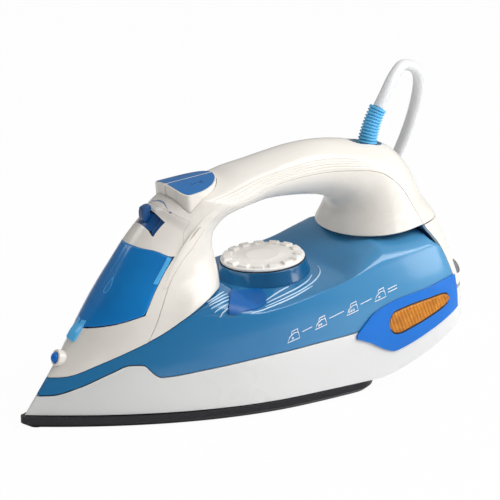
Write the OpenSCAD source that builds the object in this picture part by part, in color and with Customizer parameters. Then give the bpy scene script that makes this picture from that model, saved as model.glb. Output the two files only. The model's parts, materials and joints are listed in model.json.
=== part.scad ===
// Steam iron: soleplate, tank, handle shells, controls, pumps, valve and cord.
// Frame: toe toward -X, heel toward +X, sole face on z = 0, middle of the length at x = 0.
// Inside the modules x counts from the toe, and placed() moves it to the middle.

/* [Soleplate] */
// Length of the soleplate
sole_l = 218; // [205:1:222]
// Half width where the soleplate is widest
sole_hw = 56.3; // [54:0.5:60]
// Half width at the rear edge of the soleplate
sole_rear_hw = 52.7; // [50:0.5:54]
// Height of the soleplate with its bevel
sole_h = 7.2; // [6:0.2:7.6]
// Height of the bevelled lower part
bevel_h = 3; // [2:0.5:4]
// Rounding of the rear corners
sole_corner_r = 20; // [14:1:24]
// Rounding of the toe
toe_r = 3; // [2:0.5:5]
// Diameter of a steam hole
steam_hole_d = 2.6; // [2:0.2:3.4]

/* [Body] */
// Overall length from toe to heel
body_l = 291; // [284:1:298]
// Distance from the toe to the widest place
widest_x = 157; // [145:1:165]
// Wall of the plastic shells
wall = 2.4; // [2:0.2:2.8]
// Lean of the nose from the vertical, in degrees
nose_lean = 36; // [34:0.5:37]
// Lean of the heel from the vertical, in degrees
heel_lean = 18; // [16:0.5:20]
// Height of the rearmost edge of the heel
heel_z = 51; // [48:1:54]
// Visible seam between two shells
seam_gap = 0.4; // [0.3:0.1:0.6]

/* [Handle] */
// Half width of the grip
grip_hw = 19; // [17:0.5:21]
// Half width of the head, where the buttons are
head_hw = 23.5; // [22:0.5:25]
// Length of the cord slot in the top of the handle
slot_l = 26; // [24:1:28]
// Width of the cord slot
slot_w = 16; // [15:0.5:18]

/* [Dial] */
// Distance from the toe to the dial's middle
dial_x = 163.4; // [160:0.2:166]
// Height of the dial's top at its middle
dial_top = 80.7; // [80:0.2:82]
// Radius of the dial
dial_r = 25.7; // [24:0.1:26]
// Thickness of the dial
dial_h = 3.4; // [3:0.2:4]
// Lean of the dial toward the toe, in degrees
dial_lean = 4; // [2:0.5:5]
// Depth of the turret's foot below the dial's top
turret_h = 11.1; // [10.5:0.1:11.5]
// Diameter of the spindle under the dial
spindle_d = 8; // [7:0.5:9]
// Running clearance of a shaft in its hole, on the radius
run_gap = 0.1; // [0.05:0.01:0.15]

/* [Buttons and pumps] */
// Travel of each button
button_travel = 4.5; // [3:0.5:5]
// Length of the pair of buttons
button_l = 32; // [30:1:33]
// Half width of the pair of buttons
button_hw = 19.5; // [18:0.5:20]
// Distance from the middle plane to each pump
pump_y = 9.5; // [9:0.25:10]
// Distance from the toe to the pumps
pump_x = 105; // [104:0.5:106]
// Outer radius of a pump barrel
pump_r = 6.2; // [5.8:0.1:6.3]
// Diameter of the pump's piston
piston_d = 8; // [7:0.25:8.5]
// Wire of the return springs
spring_wire = 0.9; // [0.8:0.1:1.2]

/* [Lever, valve and door] */
// Swing of the steam lever to each side, in degrees
lever_swing = 15; // [10:1:16]
// Diameter of the lever's pin
lever_pin_d = 4; // [3:0.5:5]
// Diameter of the valve rod
rod_d = 4; // [3:0.5:5]
// Distance from the toe to the valve rod
rod_x = 93; // [92:0.5:94]
// Diameter of the door's hinge pin
door_pin_d = 2; // [1.6:0.2:2.4]
// Opening angle of the filler door, in degrees
door_open = 60; // [40:5:70]

/* [Heating] */
// Radius of the heating tube
heater_r = 2.6; // [2.4:0.1:2.7]
// Distance from the middle plane to each leg of the heating tube
heater_y = 24; // [23:0.5:26]
// Thickness of the sole casting
casting_h = 6; // [5.6:0.2:6.4]

/* [Cord] */
// Diameter of the cord
cord_d = 7; // [6:0.5:7.5]
// Mean radius of the cord's coil
coil_r = 38.5; // [36:0.5:42]
// Radius of the boot at its root
boot_r = 6.6; // [6:0.2:7]
// Diameter of a plug pin
plug_pin_d = 4.8; // [4:0.1:4.8]
// Length of a plug pin
plug_pin_l = 19; // [17:0.5:19]
// Distance between the plug's pins
plug_pitch = 19; // [17.5:0.5:20]

/* [Hidden] */
$fn = 48;
bevel_w = 3.5;           // how far the bevel runs in under the rim
side_power = 1.9;        // fullness of the sides in plan
nose_x0 = 2;             // the nose line's foot, just behind the toe
tail = body_l - 291;     // how far the heel and all that sits in it stand back from their usual place

// ---- helpers --------------------------------------------------------------------------------

module placed() translate([-body_l / 2, 0, 0]) children();

function mix(a, b, f) = a + (b - a) * f;
function clamp(v, lo, hi) = min(max(v, lo), hi);
// Fractions from 0 to 1 that crowd together at both ends
function crowd(k, n) = (1 - cos(180 * k / n)) / 2;
function flat(rows) = [for (row = rows) each row];

// A shell between two grids of points. keep(i, j) says which cells are there, and wrap joins the
// last column to the first.
module shell(outer, inner, keep = function(i, j) true, wrap = false) {
    n = len(outer);
    m = len(outer[0]);
    cols = wrap ? m : m - 1;
    there = function(i, j) i >= 0 && i < n - 1 && (wrap || (j >= 0 && j < cols)) && keep(i, (j + m) % m);
    o = function(i, j) i * m + (j + m) % m;
    u = function(i, j) n * m + o(i, j);
    quad = function(a, b, c, d) [[a, b, c], [a, c, d]];
    polyhedron(points = concat(flat(outer), flat(inner)), faces = [
        for (i = [0 : n - 2]) for (j = [0 : cols - 1]) if (there(i, j)) each concat(
            quad(o(i, j), o(i, j + 1), o(i + 1, j + 1), o(i + 1, j)),
            quad(u(i, j), u(i + 1, j), u(i + 1, j + 1), u(i, j + 1)),
            there(i - 1, j) ? [] : quad(o(i, j), u(i, j), u(i, j + 1), o(i, j + 1)),
            there(i + 1, j) ? [] : quad(o(i + 1, j), o(i + 1, j + 1), u(i + 1, j + 1), u(i + 1, j)),
            there(i, j - 1) ? [] : quad(o(i, j), o(i + 1, j), u(i + 1, j), u(i, j)),
            there(i, j + 1) ? [] : quad(o(i, j + 1), u(i, j + 1), u(i + 1, j + 1), o(i + 1, j + 1)))]);
}

// ---- the body's surface ---------------------------------------------------------------------

function nose_x(z) = nose_x0 + (z - sole_h) * tan(nose_lean);
function heel_x(z) = body_l - max(0, z - heel_z) * tan(heel_lean);
// Half width of the body at its widest, at height z
function waist(z) = sole_hw - 0.7 + lookup(z, [[0, 0], [30, 0], [45, -1.4], [60, -3.8], [72, -7],
    [96, -16.5]]);
// 1 is a sharp nose in plan, less is a blunter one
function bluntness(z) = lookup(z, [[7, 1], [20, 0.88], [45, 0.78], [70, 0.72], [100, 0.66]]);
// Half width of the body at a place, d inside its surface
function half_w(x, z, d = 0) =
    let (a = nose_x(z) + 1.3 * d, b = heel_x(z) - d, c = clamp(x, a, b), r = (c - widest_x) / (b - widest_x))
    (waist(z) - d) * (c < widest_x
        ? pow(1 - pow((widest_x - c) / (widest_x - a), side_power), bluntness(z))
        : (1 - 0.05 * r * r) * pow(max(0, 1 - pow(r, 8)), 0.25));

// Edges that the shells share, as heights over x
function underside(x) = sole_h + 0.3 + 31 * pow(max(0, x - sole_l) / (body_l - sole_l), 1.35);
nose_low = 10;           // where the skirt's upper edge begins on the nose line
function skirt_line(x) = lookup(x, [[10, 18], [17, 18.6], [31, 23.6], [47, 31.7], [58, 36.3], [64, 36.3],
    [68.4, 31.7], [72.4, 28.9], [98, 31.9], [132, 35.8], [164, 37.9], [193, 39.4], [272 + tail, 51],
        [body_l, 52]]);
panel_x0 = 17;
panel_z0 = 28;           // where the tank's upper edge begins on the nose line
panel_x1 = 127;
panel_z1 = 72;
function panel_line(x) = lookup(x, [[panel_x0, panel_z0], [25, 29], [42, 36.4], [57, 43.6], [75, 52.8],
    [93, 64], [104, 69], [116, panel_z1], [panel_x1, panel_z1]]);
function crease(x) = lookup(x, [[93, 63.4], [104, 62.5], [116, 61], [127, 60.5], [142, 62], [180, 68.5],
    [216, 76], [255 + tail, 80]]);
// Height of the crown in the middle plane: level with the turret's foot under the dial
function turret_z(x) = dial_top - turret_h - 0.5 + (x - dial_x) * tan(dial_lean);
function crown_z(x) = lookup(x, [[panel_x1, panel_z1 - 0.2], [134, turret_z(134)], [194, turret_z(194)],
    [203, 77.5], [210, 83], [222, 90]]);
// How far out the crown meets the nose panel's edge, as a share of the half width
function crown_reach(x) = lookup(x, [[80, 0.4], [93, 0.9], [104, 0.87], [118, 0.55], [panel_x1, 0.05]]);
// The tank's sloping rear edge: height over x, and the same line as x over height
function rear_edge(x) = lookup(x - tail, [[257, 92.5], [266.8, 79.9], [271.4, 69.7], [274.8, 60.2],
    [276.5, 53]]);
function tank_rear(z) = tail + lookup(z, [[53, 276.5], [60.2, 274.8], [69.7, 271.4], [79.9, 266.8],
    [92.5, 257]]);
function trim_top(x) = lookup(x - tail, [[195, 37.6], [201.5, 43.4], [210, 50], [230, 55.7], [248, 57.8],
    [272, 61], [278, 61]]);
function trim_low(x) = lookup(x - tail, [[195, 36.4], [205.7, 32], [217.5, 25.5], [224, 23.6],
    [233, 25.5], [252, 32], [278, 42]]);

// ---- soleplate and hot parts ----------------------------------------------------------------

apex = toe_r * (1 - 1 / sin(atan(side_power * sole_hw / widest_x)));
function sole_y(x, hw = sole_hw) = x < widest_x
    ? hw * (1 - pow((widest_x - x) / (widest_x - apex), side_power))
    : hw - (sole_hw - sole_rear_hw) * pow((x - widest_x) / (sole_l - widest_x), 2);

// Outline of the soleplate, cut back by inset all round, from the toe to x = end
module sole_outline(inset = 0, end = sole_l) {
    r = max(2, sole_corner_r - inset);
    x0 = toe_r + inset * 2;
    x1 = end - inset;
    side = [for (k = [0 : 20]) let (x = mix(x0, x1 - r, k / 20)) [x, sole_y(x) - inset]];
    rear_y = sole_y(x1 - r) - inset - r;
    corner = [for (a = [78 : -13 : 0]) [x1 - r + r * cos(a), rear_y + r * sin(a)]];
    toe = [for (a = [0, 30, 60]) [x0 - (x0 - 1.5 * inset) * cos(a), side[0].y * sin(a)]];
    half = concat(toe, side, corner);
    polygon(concat(half, [for (k = [len(half) - 1 : -1 : 1]) [half[k].x, -half[k].y]]));
}

// Steam holes: one row along each side and a cluster at the toe
module steam_holes() {
    for (s = [-1, 1], k = [0 : 8]) {
        x = 34 + 19 * k;
        translate([x, s * (sole_y(x) - 13), -1]) cylinder(d = steam_hole_d, h = sole_h + 2, $fn = 24);
    }
    for (x = [22, 44, 58, 72]) translate([x, 0, -1]) cylinder(d = steam_hole_d, h = sole_h + 2, $fn = 24);
}

module soleplate() color([0.05, 0.05, 0.06]) placed() difference() {
    union() {
        linear_extrude(bevel_h / 2) sole_outline(bevel_w);
        translate([0, 0, bevel_h / 2]) linear_extrude(bevel_h / 2) sole_outline(bevel_w / 2);
        translate([0, 0, bevel_h]) linear_extrude(sole_h - bevel_h) sole_outline();
    }
    steam_holes();
}

heater_x0 = 75;
heater_x1 = sole_l - 22;
heater_z = sole_h + casting_h / 2;
heater_post = casting_h / 2 + 4;     // the tube's cold ends stand up through the casting
// Horseshoe of tube with its two ends turned up
module heater_path(r, slack = 0) {
    translate([heater_x0, 0, heater_z]) rotate([0, 0, 90]) rotate_extrude(angle = 180)
        translate([heater_y, 0]) circle(r);
    for (s = [-1, 1]) {
        translate([heater_x0 - slack, s * heater_y, heater_z]) rotate([0, 90, 0])
            cylinder(r = r, h = heater_x1 - heater_x0 + 2 * slack);
        translate([heater_x1 - heater_r, s * heater_y, heater_z]) cylinder(r = r, h = heater_post);
    }
}
casting_inset = 9;
module sole_casting() color([0.75, 0.76, 0.78]) placed() difference() {
    translate([0, 0, sole_h]) linear_extrude(casting_h) sole_outline(casting_inset);
    heater_path(heater_r + 0.1, 0.1);
    // steam chamber between the heater's legs
    translate([62, -14, sole_h + 2]) cube([90, 28, casting_h]);
    for (s = [-1, 1]) for (x = [72, 100, 128])
        translate([x, s * 10, sole_h - 1]) cylinder(d = steam_hole_d, h = 4, $fn = 24);
    screw_holes(screw_d + 0.1);
}
module heating_element() color([0.42, 0.40, 0.38]) placed() {
    heater_path(heater_r);
}

cover_z = sole_h + casting_h;
cover_h = 1.2;
module chamber_cover() color([0.68, 0.70, 0.72]) placed() difference() {
    translate([56, -17, cover_z]) cube([102, 34, cover_h]);
    translate([rod_x, 0, cover_z - 1]) cylinder(d = rod_d + 1, h = 4);
    translate([burst_x, pump_y, cover_z - 1]) cylinder(d = 2, h = 4);
}

spindle_foot = 24;       // height of the spindle's lower end
module on_dial_axis() translate([dial_x, 0, dial_top]) rotate([0, -dial_lean, 0]) children();
thermostat_x = dial_x + (dial_top - 18) * tan(dial_lean);
module thermostat() color([0.80, 0.72, 0.50]) placed() {
    translate([thermostat_x - 9, -10, cover_z]) cube([26, 20, 5.6]);
    translate([thermostat_x, 0, cover_z + 5.6]) cylinder(r = 3.5, h = 1.6);
}
module thermal_fuse() color([0.85, 0.84, 0.80]) placed()
    translate([sole_l - 50, -18, cover_z + 2.2]) rotate([0, 90, 0]) cylinder(r = 2.2, h = 22);

screw_d = 4;
screw_spots = [[40, 0], [sole_l - 20, 30], [sole_l - 20, -30]];
module screw_holes(d) for (p = screw_spots)
    translate([p.x, p.y, sole_h - 0.01]) cylinder(d = d, h = casting_h + 4);
module screws() color([0.70, 0.71, 0.73]) placed() for (p = screw_spots) translate([p.x, p.y, sole_h]) {
    cylinder(d = screw_d, h = casting_h + 0.1);
    translate([0, 0, casting_h]) cylinder(d = 7, h = 2.6);
}

// ---- skirt and heel -------------------------------------------------------------------------

// Columns of the skirt, by where they meet its upper edge; closer together where that edge bends
SKIRT_X = concat([12, 17, 24, 31, 39, 47, 53, 58, 64, 68.4, 72.4, 80, 89, 98, 115, 132, 148, 164, 178, 193],
    [for (x = [208, 225, 240, 255, 265, 273, 279, 284, 287.5, 289.8]) x + tail]);
skirt_f = concat(
    [0], [for (x = SKIRT_X) let (a = nose_x(skirt_line(x))) (x - a) / (heel_x(skirt_line(x)) - a)], [1]
);
function skirt_rows(d) = let (n = len(skirt_f) - 1) [for (v = [0 : 4]) [for (k = [0 : 2 * n - 1])
    let (f = skirt_f[k <= n ? k : 2 * n - k], low = mix(nose_x(24), heel_x(24), f),
        top = f == 0 ? nose_low : f == 1 ? heel_x(52) : SKIRT_X[(k <= n ? k : 2 * n - k) - 1],
        z = mix(underside(low), skirt_line(top), v / 4), x = mix(nose_x(z), heel_x(z), f)
            + d * (1.3 * max(0, 1 - f / 0.06) - max(0, 1 - (1 - f) / 0.05)))
    [x, k == 0 || k == n ? 0 : (k < n ? 1 : -1) * half_w(x, z, d), z]]];
module skirt() color([0.86, 0.86, 0.84]) placed() difference() {
    shell(skirt_rows(0), skirt_rows(wall), wrap = true);
    // window behind each amber lens
    translate([232 + tail, -70, 37]) cube([20, 140, 6]);
}

// The underside of the heel between the skirt's walls
base_x0 = sole_l - 4;
function base_rows(d) = [for (k = [0 : 10]) let (x = mix(base_x0, body_l - 8, k / 10),
    w = half_w(x, 30, wall) - 0.9,
    z = underside(x) + 0.2 + d) [for (j = [-3 : 3]) [x, w * j / 3, z]]];
module heel_base() color([0.80, 0.80, 0.78]) placed() shell(base_rows(2.2), base_rows(0));

// Two rubber feet on the heel, for parking the iron upright
foot_z = heel_z + 8;
module on_heel(side) translate([heel_x(foot_z) - 4.4, side * 28, foot_z]) rotate([0, 90 - heel_lean, 0])
    children();
module heel_feet() color([0.25, 0.26, 0.28]) placed() for (s = [-1, 1]) on_heel(s) cylinder(r = 5, h = 3.6);

// Height of the handle's lower edge, where it stands on the tank and the rear cover
base_x = 209.5 + tail;
base_z = 88.4;
function handle_foot(x) = mix(base_z, 96, (x - base_x) / (heel_x(96) - base_x));
cover_z0 = heel_z + 2.2;
function cover_rows(d) = let (n = 14, v_n = 6) [for (v = [0 : v_n]) [for (k = [-n : n])
    let (f = sin(90 * abs(k) / n), top = handle_foot(mix(heel_x(96), 258 + tail, f)) - 0.6,
        z = mix(cover_z0, top, v / v_n),
        x = mix(heel_x(z) - d, tank_rear(z) + 1, f), s = k < 0 ? 1 : -1)
    [x, k == 0 ? 0 : s * half_w(x, z, d), z]]];
module rear_cover() color([0.90, 0.90, 0.88]) placed() difference() {
    shell(cover_rows(0), cover_rows(wall));
    for (s = [-1, 1]) on_heel(s) cylinder(r = 5.05, h = 8);
}

// ---- tank -----------------------------------------------------------------------------------

floor_z = 22;            // height of the tank's floor
tank_x0 = 10.8;
tank_x1 = body_l - 15;
// Lower edge of the tank's wall: inside the skirt, and up over the heel space at the rear
function tank_foot(x) = lookup(x, [[11, 18.6], [21, floor_z], [203, floor_z], [209, 42],
    [240 + tail, 46.6], [tank_x1, 52]]);
function nose_top(x, d) = sole_h + (x - nose_x0 - 1.3 * d) / tan(nose_lean) - 0.4;
// Height of the flank's upper edge
function flank_top(x, d) = min(x < 93 ? crown_top(x) : crease(x), nose_top(x, d), rear_edge(x)) - d;
function crown_top(x) = x < panel_x1 ? panel_line(x) - lookup(x, [[20, 0.2], [85, 0.2], [93, 0.6]])
    : min(crown_z(x), rear_edge(x));
// A point of the crown: w = 0 on the flank's upper edge, 1 in the middle
crown_w = 0.6;
function tank_w(x, z, d) = max(0.3, half_w(x, z, d));
function crown_pt(x, w, d) = let (z0 = flank_top(x, d), z1 = max(z0, min(crown_top(x), nose_top(x, d)) - d),
    a = 90 * (x < panel_x1 ? min(1, w / crown_w) : w), reach = x < panel_x1 ? crown_reach(x) : 0)
    [x, -tank_w(x, z0, d) * (a < 90 ? mix(reach, 1, pow(cos(a), 0.8)) : reach * (1 - w) / (1 - crown_w)),
        mix(z0, z1, sin(a))];
function tank_half(x, d) = let (foot = tank_foot(x),
    seam = max(foot, min(skirt_line(x) + seam_gap, flank_top(x, d) - 0.2)),
    in = foot > skirt_line(x) ? 0 : wall + 2 * seam_gap)
    concat([for (z = [foot, max(foot, seam - 0.1)]) [x, -tank_w(x, z, d + in), z]],
        [[x, -tank_w(x, seam, d), seam]],
        [for (f = [0.2 : 0.2 : 1]) let (z = mix(seam, flank_top(x, d), f)) [x, -tank_w(x, z, d), z]],
        [for (w = [0.15, 0.35, 0.6, 0.8]) crown_pt(x, w, d)]);
function both_sides(half, mid) = concat(half, [mid],
    [for (k = [len(half) - 1 : -1 : 0]) [half[k].x, -half[k].y, half[k].z]]);
tank_xs = [0, 0.012, 0.0234, 0.045, 0.0762, 0.106, 0.1365, 0.178, 0.2006, 0.2172, 0.2323, 0.27, 0.31,
    0.351, 0.397,
    0.4375, 0.44, 0.465, 0.5, 0.57, 0.64, 0.69, 0.72, 0.735, 0.7468, 0.7476, 0.765, 0.785, 0.81, 0.85,
        0.89, 0.93, 0.965, 0.985, 1];
function tank_rows(d) = [for (f = tank_xs) let (x = mix(tank_x0 + (d > 0 ? 11 : 0), tank_x1 - d * 1.3, f))
    both_sides(tank_half(x, d), crown_pt(x, 1, d))];

// A vessel between two nested lofts, open below
module vessel(outer, inner) {
    n = len(outer);
    m = len(outer[0]);
    o = function(i, j) i * m + j;
    u = function(i, j) n * m + o(i, j);
    quad = function(a, b, c, d) [[a, b, c], [a, c, d]];
    e = m - 1;
    z = n - 1;
    polyhedron(points = concat(flat(outer), flat(inner)), faces = concat(
        [for (i = [0 : n - 2]) for (j = [0 : m - 2]) each concat(
            quad(o(i, j), o(i, j + 1), o(i + 1, j + 1), o(i + 1, j)),
            quad(u(i, j), u(i + 1, j), u(i + 1, j + 1), u(i, j + 1)))],
        [for (i = [0 : n - 2]) each concat(
            quad(o(i, 0), o(i + 1, 0), u(i + 1, 0), u(i, 0)),
            quad(o(i, e), u(i, e), u(i + 1, e), o(i + 1, e)))],
        [[for (j = [e : -1 : 0]) o(0, j)], [for (j = [0 : e]) u(0, j)]],
        [[for (j = [0 : e]) o(z, j)], [for (j = [e : -1 : 0]) u(z, j)]],
        quad(o(0, 0), u(0, 0), u(0, e), o(0, e)),
        quad(o(z, 0), o(z, e), u(z, e), u(z, 0))));
}
funnel_x = 62;
burst_x = pump_x + 4.6;
module tank() color([0.20, 0.45, 0.75, 0.6]) placed() difference() {
    union() {
        vessel(tank_rows(0), tank_rows(wall));
        on_dial_axis() translate([0, 0, -dial_top + floor_z + 1])
            cylinder(d = spindle_d + 5, h = dial_top - floor_z - 12);
    }
    on_dial_axis() translate([0, 0, -dial_top]) cylinder(d = spindle_d + 2 * run_gap, h = 2 * dial_top);
    translate([rod_x, 0, floor_z + 2]) cylinder(d = rod_d + 2 * run_gap, h = 60);
    translate([burst_x, pump_y, floor_z + 2]) cylinder(d = 3.2, h = 60);
    translate([funnel_x, 0, floor_z + 8]) cylinder(d = 14, h = 30);
}

// Floor of the tank: level over the hot parts, stepping up over the heel space
function floor_rows(d) = [for (x = [21.5, 60, 110, 160, 203, 207.5, 240, tank_x1 - 8])
    let (z = tank_foot(x) - 0.3, w = half_w(x, z, x > 203 ? wall : 2 * wall + 2 * seam_gap) - 0.5)
    [for (j = [-3 : 3]) [x, w * j / 3, z + d]]];
module tank_base() color([0.82, 0.84, 0.86]) placed() difference() {
    shell(floor_rows(0), floor_rows(-2));
    translate([rod_x, 0, floor_z - 4]) cylinder(d = rod_d + 3, h = 6);
    translate([burst_x, pump_y, floor_z - 4]) cylinder(d = 3.2, h = 6);
    on_dial_axis() translate([0, 0, -dial_top]) cylinder(d = spindle_d + 2 * run_gap, h = 2 * dial_top);
}
module valve_seat() color([0.75, 0.30, 0.20]) placed() translate([rod_x, 0, cover_z + cover_h]) difference() {
    union() {
        cylinder(d = 12, h = floor_z - 2.4 - cover_z - cover_h);
        cylinder(d = rod_d + 3 - 0.1, h = floor_z - 0.4 - cover_z - cover_h);
    }
    translate([0, 0, 4.4]) cylinder(d = rod_d + 2 * run_gap, h = 10);
    translate([0, 0, -1]) cylinder(d = 1.5, h = 10);
}
rod_foot = cover_z + cover_h + 4.4 + 1.5;
rod_top = 86;
// The rod turns with the lever, and the flat on its foot lets water past the seat
module valve_rod() color([0.85, 0.86, 0.88]) placed() translate([rod_x, 0, rod_foot]) difference() {
    cylinder(d = rod_d, h = rod_top - rod_foot);
    translate([rod_d * 0.3, -rod_d, -1]) cube([rod_d, 2 * rod_d, 4]);
}

// ---- dial -----------------------------------------------------------------------------------

module dial_turret() color([0.15, 0.45, 0.75, 0.6]) placed() on_dial_axis() {
    top = -dial_h - 0.6;
    rotate_extrude() polygon([[spindle_d / 2 + 4, top], [spindle_d / 2 + 4, top - 1.2],
        [dial_r - 3, top - 1.2],
        [dial_r - 3, -turret_h + 2.4], [dial_r, -turret_h], [dial_r + 3, -turret_h],
            [dial_r, -turret_h + 1.4],
        [dial_r - 1.2, top - 2.2], [dial_r + 0.8, top - 1.2], [dial_r + 0.8, top]]);
}
module dial() color([0.95, 0.95, 0.93]) placed() on_dial_axis() {
    rotate_extrude() polygon([[0, -dial_h - 0.2], [dial_r - 1.5, -dial_h - 0.2], [dial_r, -dial_h + 0.6],
        [dial_r, -0.6],
        [dial_r - 1, 0], [dial_r * 0.62, 0], [dial_r * 0.56, -0.8], [0, -0.8]]);
}
module dial_spindle() color([0.90, 0.90, 0.88]) placed() on_dial_axis()
    translate([0, 0, -dial_top + spindle_foot - 3])
        cylinder(d = spindle_d, h = dial_top - spindle_foot + 3 - dial_h - 0.2);

// ---- handle surface -------------------------------------------------------------------------

// The lever's window, from its lower to its upper edge on the nose line
lever_x0 = 77.5;
lever_z0 = 109.5;
lever_x1 = 85.3;
lever_z1 = 117.2;
// Cross-sections from the nose over the grip to the heel:
// outer x, outer z, inner x, inner z, half width
GRIP_ROWS = [
    [nose_x(28.4), 28.4, 127, 72.4, 37], [nose_x(41), 41, 127, 78.5, 33.5],
        [nose_x(53.3), 53.3, 126.5, 84.5, 30],
    [nose_x(69.3), 69.3, 125.5, 90.5, 27], [nose_x(85), 85, 124.5, 96, 25],
        [nose_x(100), 100, 124.5, 100.5, 24],
    [lever_x0, lever_z0, 125.5, 104.5, 23.4], [lever_x1, lever_z1, 129.5, 109, 23.2],
        [90, 121.6, 134, 111.8, head_hw],
    [96, 125.4, 140, 113.6, head_hw], [104, 129.2, 146, 114.8, head_hw],
        [117, 131.6, 151, 115.4, head_hw - 1.2],
    [129, 134.6, 156, 115.8, grip_hw + 2], [140, 138, 161, 116, grip_hw + 1],
        [155, 141, 168, 115.9, grip_hw + 0.3],
    [170, 143.8, 176, 115.5, grip_hw], [185, 146, 183, 115, grip_hw], [200, 146.6, 190, 114.3, grip_hw],
    [214, 145.5, 197, 113.3, grip_hw + 0.4], [228, 143.3, 202, 112.2, grip_hw + 1.2],
        [240, 141, 207, 110.6, grip_hw + 2.4],
    [250, 138, 211, 108.2, grip_hw + 4], [258, 132, 213.5, 105, grip_hw + 6.5],
        [265, 122.5, 214, 101.3, grip_hw + 10], [270.8, 109.5, 212, 95.5, grip_hw + 14.5]];
// The grip stretches with the body's length
function grip_x(x) = x + tail * clamp((x - 130) / 80, 0, 1);
STATIONS = concat([for (r = GRIP_ROWS) [grip_x(r[0]), r[1], grip_x(r[2]), r[3], r[4]]],
    [[heel_x(96), 96, base_x, base_z, 38]]);
last = len(STATIONS) - 1;
// Where the two seams cross each station, as a share of the way from outer to inner
PANEL_SEAM = [0.44, 0.43, 0.42, 0.42, 0.42, 0.43, 0.38, 0.27, 0.25];
HANDLE_SEAM = [0.46, 0.46, 0.46, 0.46, 0.5, 0.59, 0.62, 0.645, 0.62, 0.6, 0.6, 0.6, 0.6, 0.57, 0.52, 0.5,
    0.5, 0.49,
    0.47, 0.45, 0.42, 0.4, 0.38, 0.35, 0.32, 0.29];
function at(list, s) = let (i = clamp(floor(s), 0, len(list) - 2), f = clamp(s - i, 0, 1))
    mix(list[i], list[i + 1], f);
// Columns: 0 is the outer line, 4 the nose panel's seam, 7 the handle's seam, 11 the inner line
function column_q(s, c) = let (qn = at(PANEL_SEAM, s), qh = at(HANDLE_SEAM, s))
    c <= 4 ? qn * lookup(c, [[0, 0], [1, 0.1], [2,
        lookup(s, [[5, 0.42], [6, 0.22], [7, 0.32], [8, 0.42]])], [3, 0.85], [4, 1]])
    : c <= 7 ? mix(qn, qh, (c - 4) / 3) : 1 - (1 - qh) * pow((11 - c) / 4, 1.7);
function section_y(q, s, hw, d, x, z) = let (m = lookup(s,
    [[0, 0.62], [4, 0.5], [7, 0.5], [8, 0.4], [12, 0.4], [14, 0.5]]), n = lookup(s, [[7, 2.5], [13, 2]]),
    own = hw * (q < 0.5 ? pow(1 - pow(1 - 2 * q, 2), m) : pow(max(0, 1 - pow(2 * q - 1, n)), 0.5)),
    curl = s < last / 2 ? pow(max(0, 1 - pow(max(0, (q - 0.66) / 0.34), 1.5)), 0.5)
        : pow(max(0, 1 - pow(max(0, (q - 0.45) / 0.55), 2)), 0.5),
    body = lookup(s, [[0, 1], [1, 0.7], [2, 0.4], [3, 0.12], [4, 0], [last - 1, 0], [last, 1]]))
    body == 0 ? own : mix(own, half_w(x, z, d) * curl, body);
// The head's rows sag toward the sides, square to the nose line
function sag(s, q) = lookup(s, [[3, 0], [4, 2.5], [5, 5], [6, 7], [7, 7], [8, 5], [9, 2], [10, 0]])
    * lookup(q, [[0, 0], [0.04, 0.16], [0.09, 0.34], [0.18, 0.66], [0.32, 0.95], [0.36, 0.9],
        [0.43, 0.35], [0.5, 0]]);
function handle_pt(s, c, side, d = 0) = let (st = at(STATIONS, s),
    len2 = norm([st[2] - st[0], st[3] - st[1]]),
    q = column_q(s, c), nose = lookup(s, [[7, 1.5], [10, 1]]), t0 = d * nose / len2, t1 = 1 - d / len2,
    x = mix(st[0], st[2], mix(t0, t1, q)), z0 = mix(st[1], st[3], mix(t0, t1, q)),
    bend = lookup(s, [[0, 1], [1, 0.6], [2, 0.3], [3, 0.1], [4, 0]]),
    z = z0 - sag(s, q) + bend * (panel_line(x) + seam_gap - mix(panel_z0 + 0.4, panel_z1 + 0.4,
        (x - panel_x0) / (panel_x1 - panel_x0))))
    [x, c == 0 || c == 11 ? 0 : side * section_y(q, s, st[4] - d, d, x, z), z];
// Rows of the handle's surface; the columns run round from the outer line by the far side
function handle_rows(stations, d) = [for (s = stations) [for (c = [0 : 21])
    handle_pt(s, c <= 11 ? c : 22 - c, c <= 11 ? 1 : -1, d)]];
function col_of(j) = j < 11 ? j : 21 - j;
all_stations = [0 : last];
module handle_shell(keep) shell(handle_rows(all_stations, 0), handle_rows(all_stations, wall), keep,
    wrap = true);

// The nose panel with its two windows: filler door below, steam lever above
door_s0 = 2;
door_s1 = 5;
module nose_panel() color([0.93, 0.92, 0.90]) placed() difference() {
    handle_shell(function(i, j) let (c = col_of(j)) i < 8 && c < (i < 3 ? 7 : 4)
        && !(c < 3 && i >= door_s0 && i < door_s1) && !(c < 2 && i == 6));
    on_nozzle() translate([0, 0, -12]) cylinder(r = ring_r + 0.1, h = 20);
    on_buttons() translate([0, 0, -20]) linear_extrude(40) button_outline(0.4);
}
module handle_top() color([0.94, 0.93, 0.91]) placed() difference() {
    handle_shell(function(i, j) let (c = col_of(j)) c < 7 && (i >= 8 || (i >= 3 && c >= 4)));
    on_buttons() translate([0, 0, -20]) linear_extrude(40) button_outline(0.4);
    translate([slot_x, 0, 125]) slot_prism(slot_l, slot_w);
}
module handle_inner() color([0.92, 0.91, 0.89]) placed()
    handle_shell(function(i, j) let (c = col_of(j)) c >= 7);

slot_x = 235 + tail;
module slot_prism(l, w) linear_extrude(30) {
    square([l - w, w], center = true);
    for (s = [-1, 1]) translate([s * (l - w) / 2, 0]) circle(d = w);
}

// ---- filler door ----------------------------------------------------------------------------

door_gap = 0.05;
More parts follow.
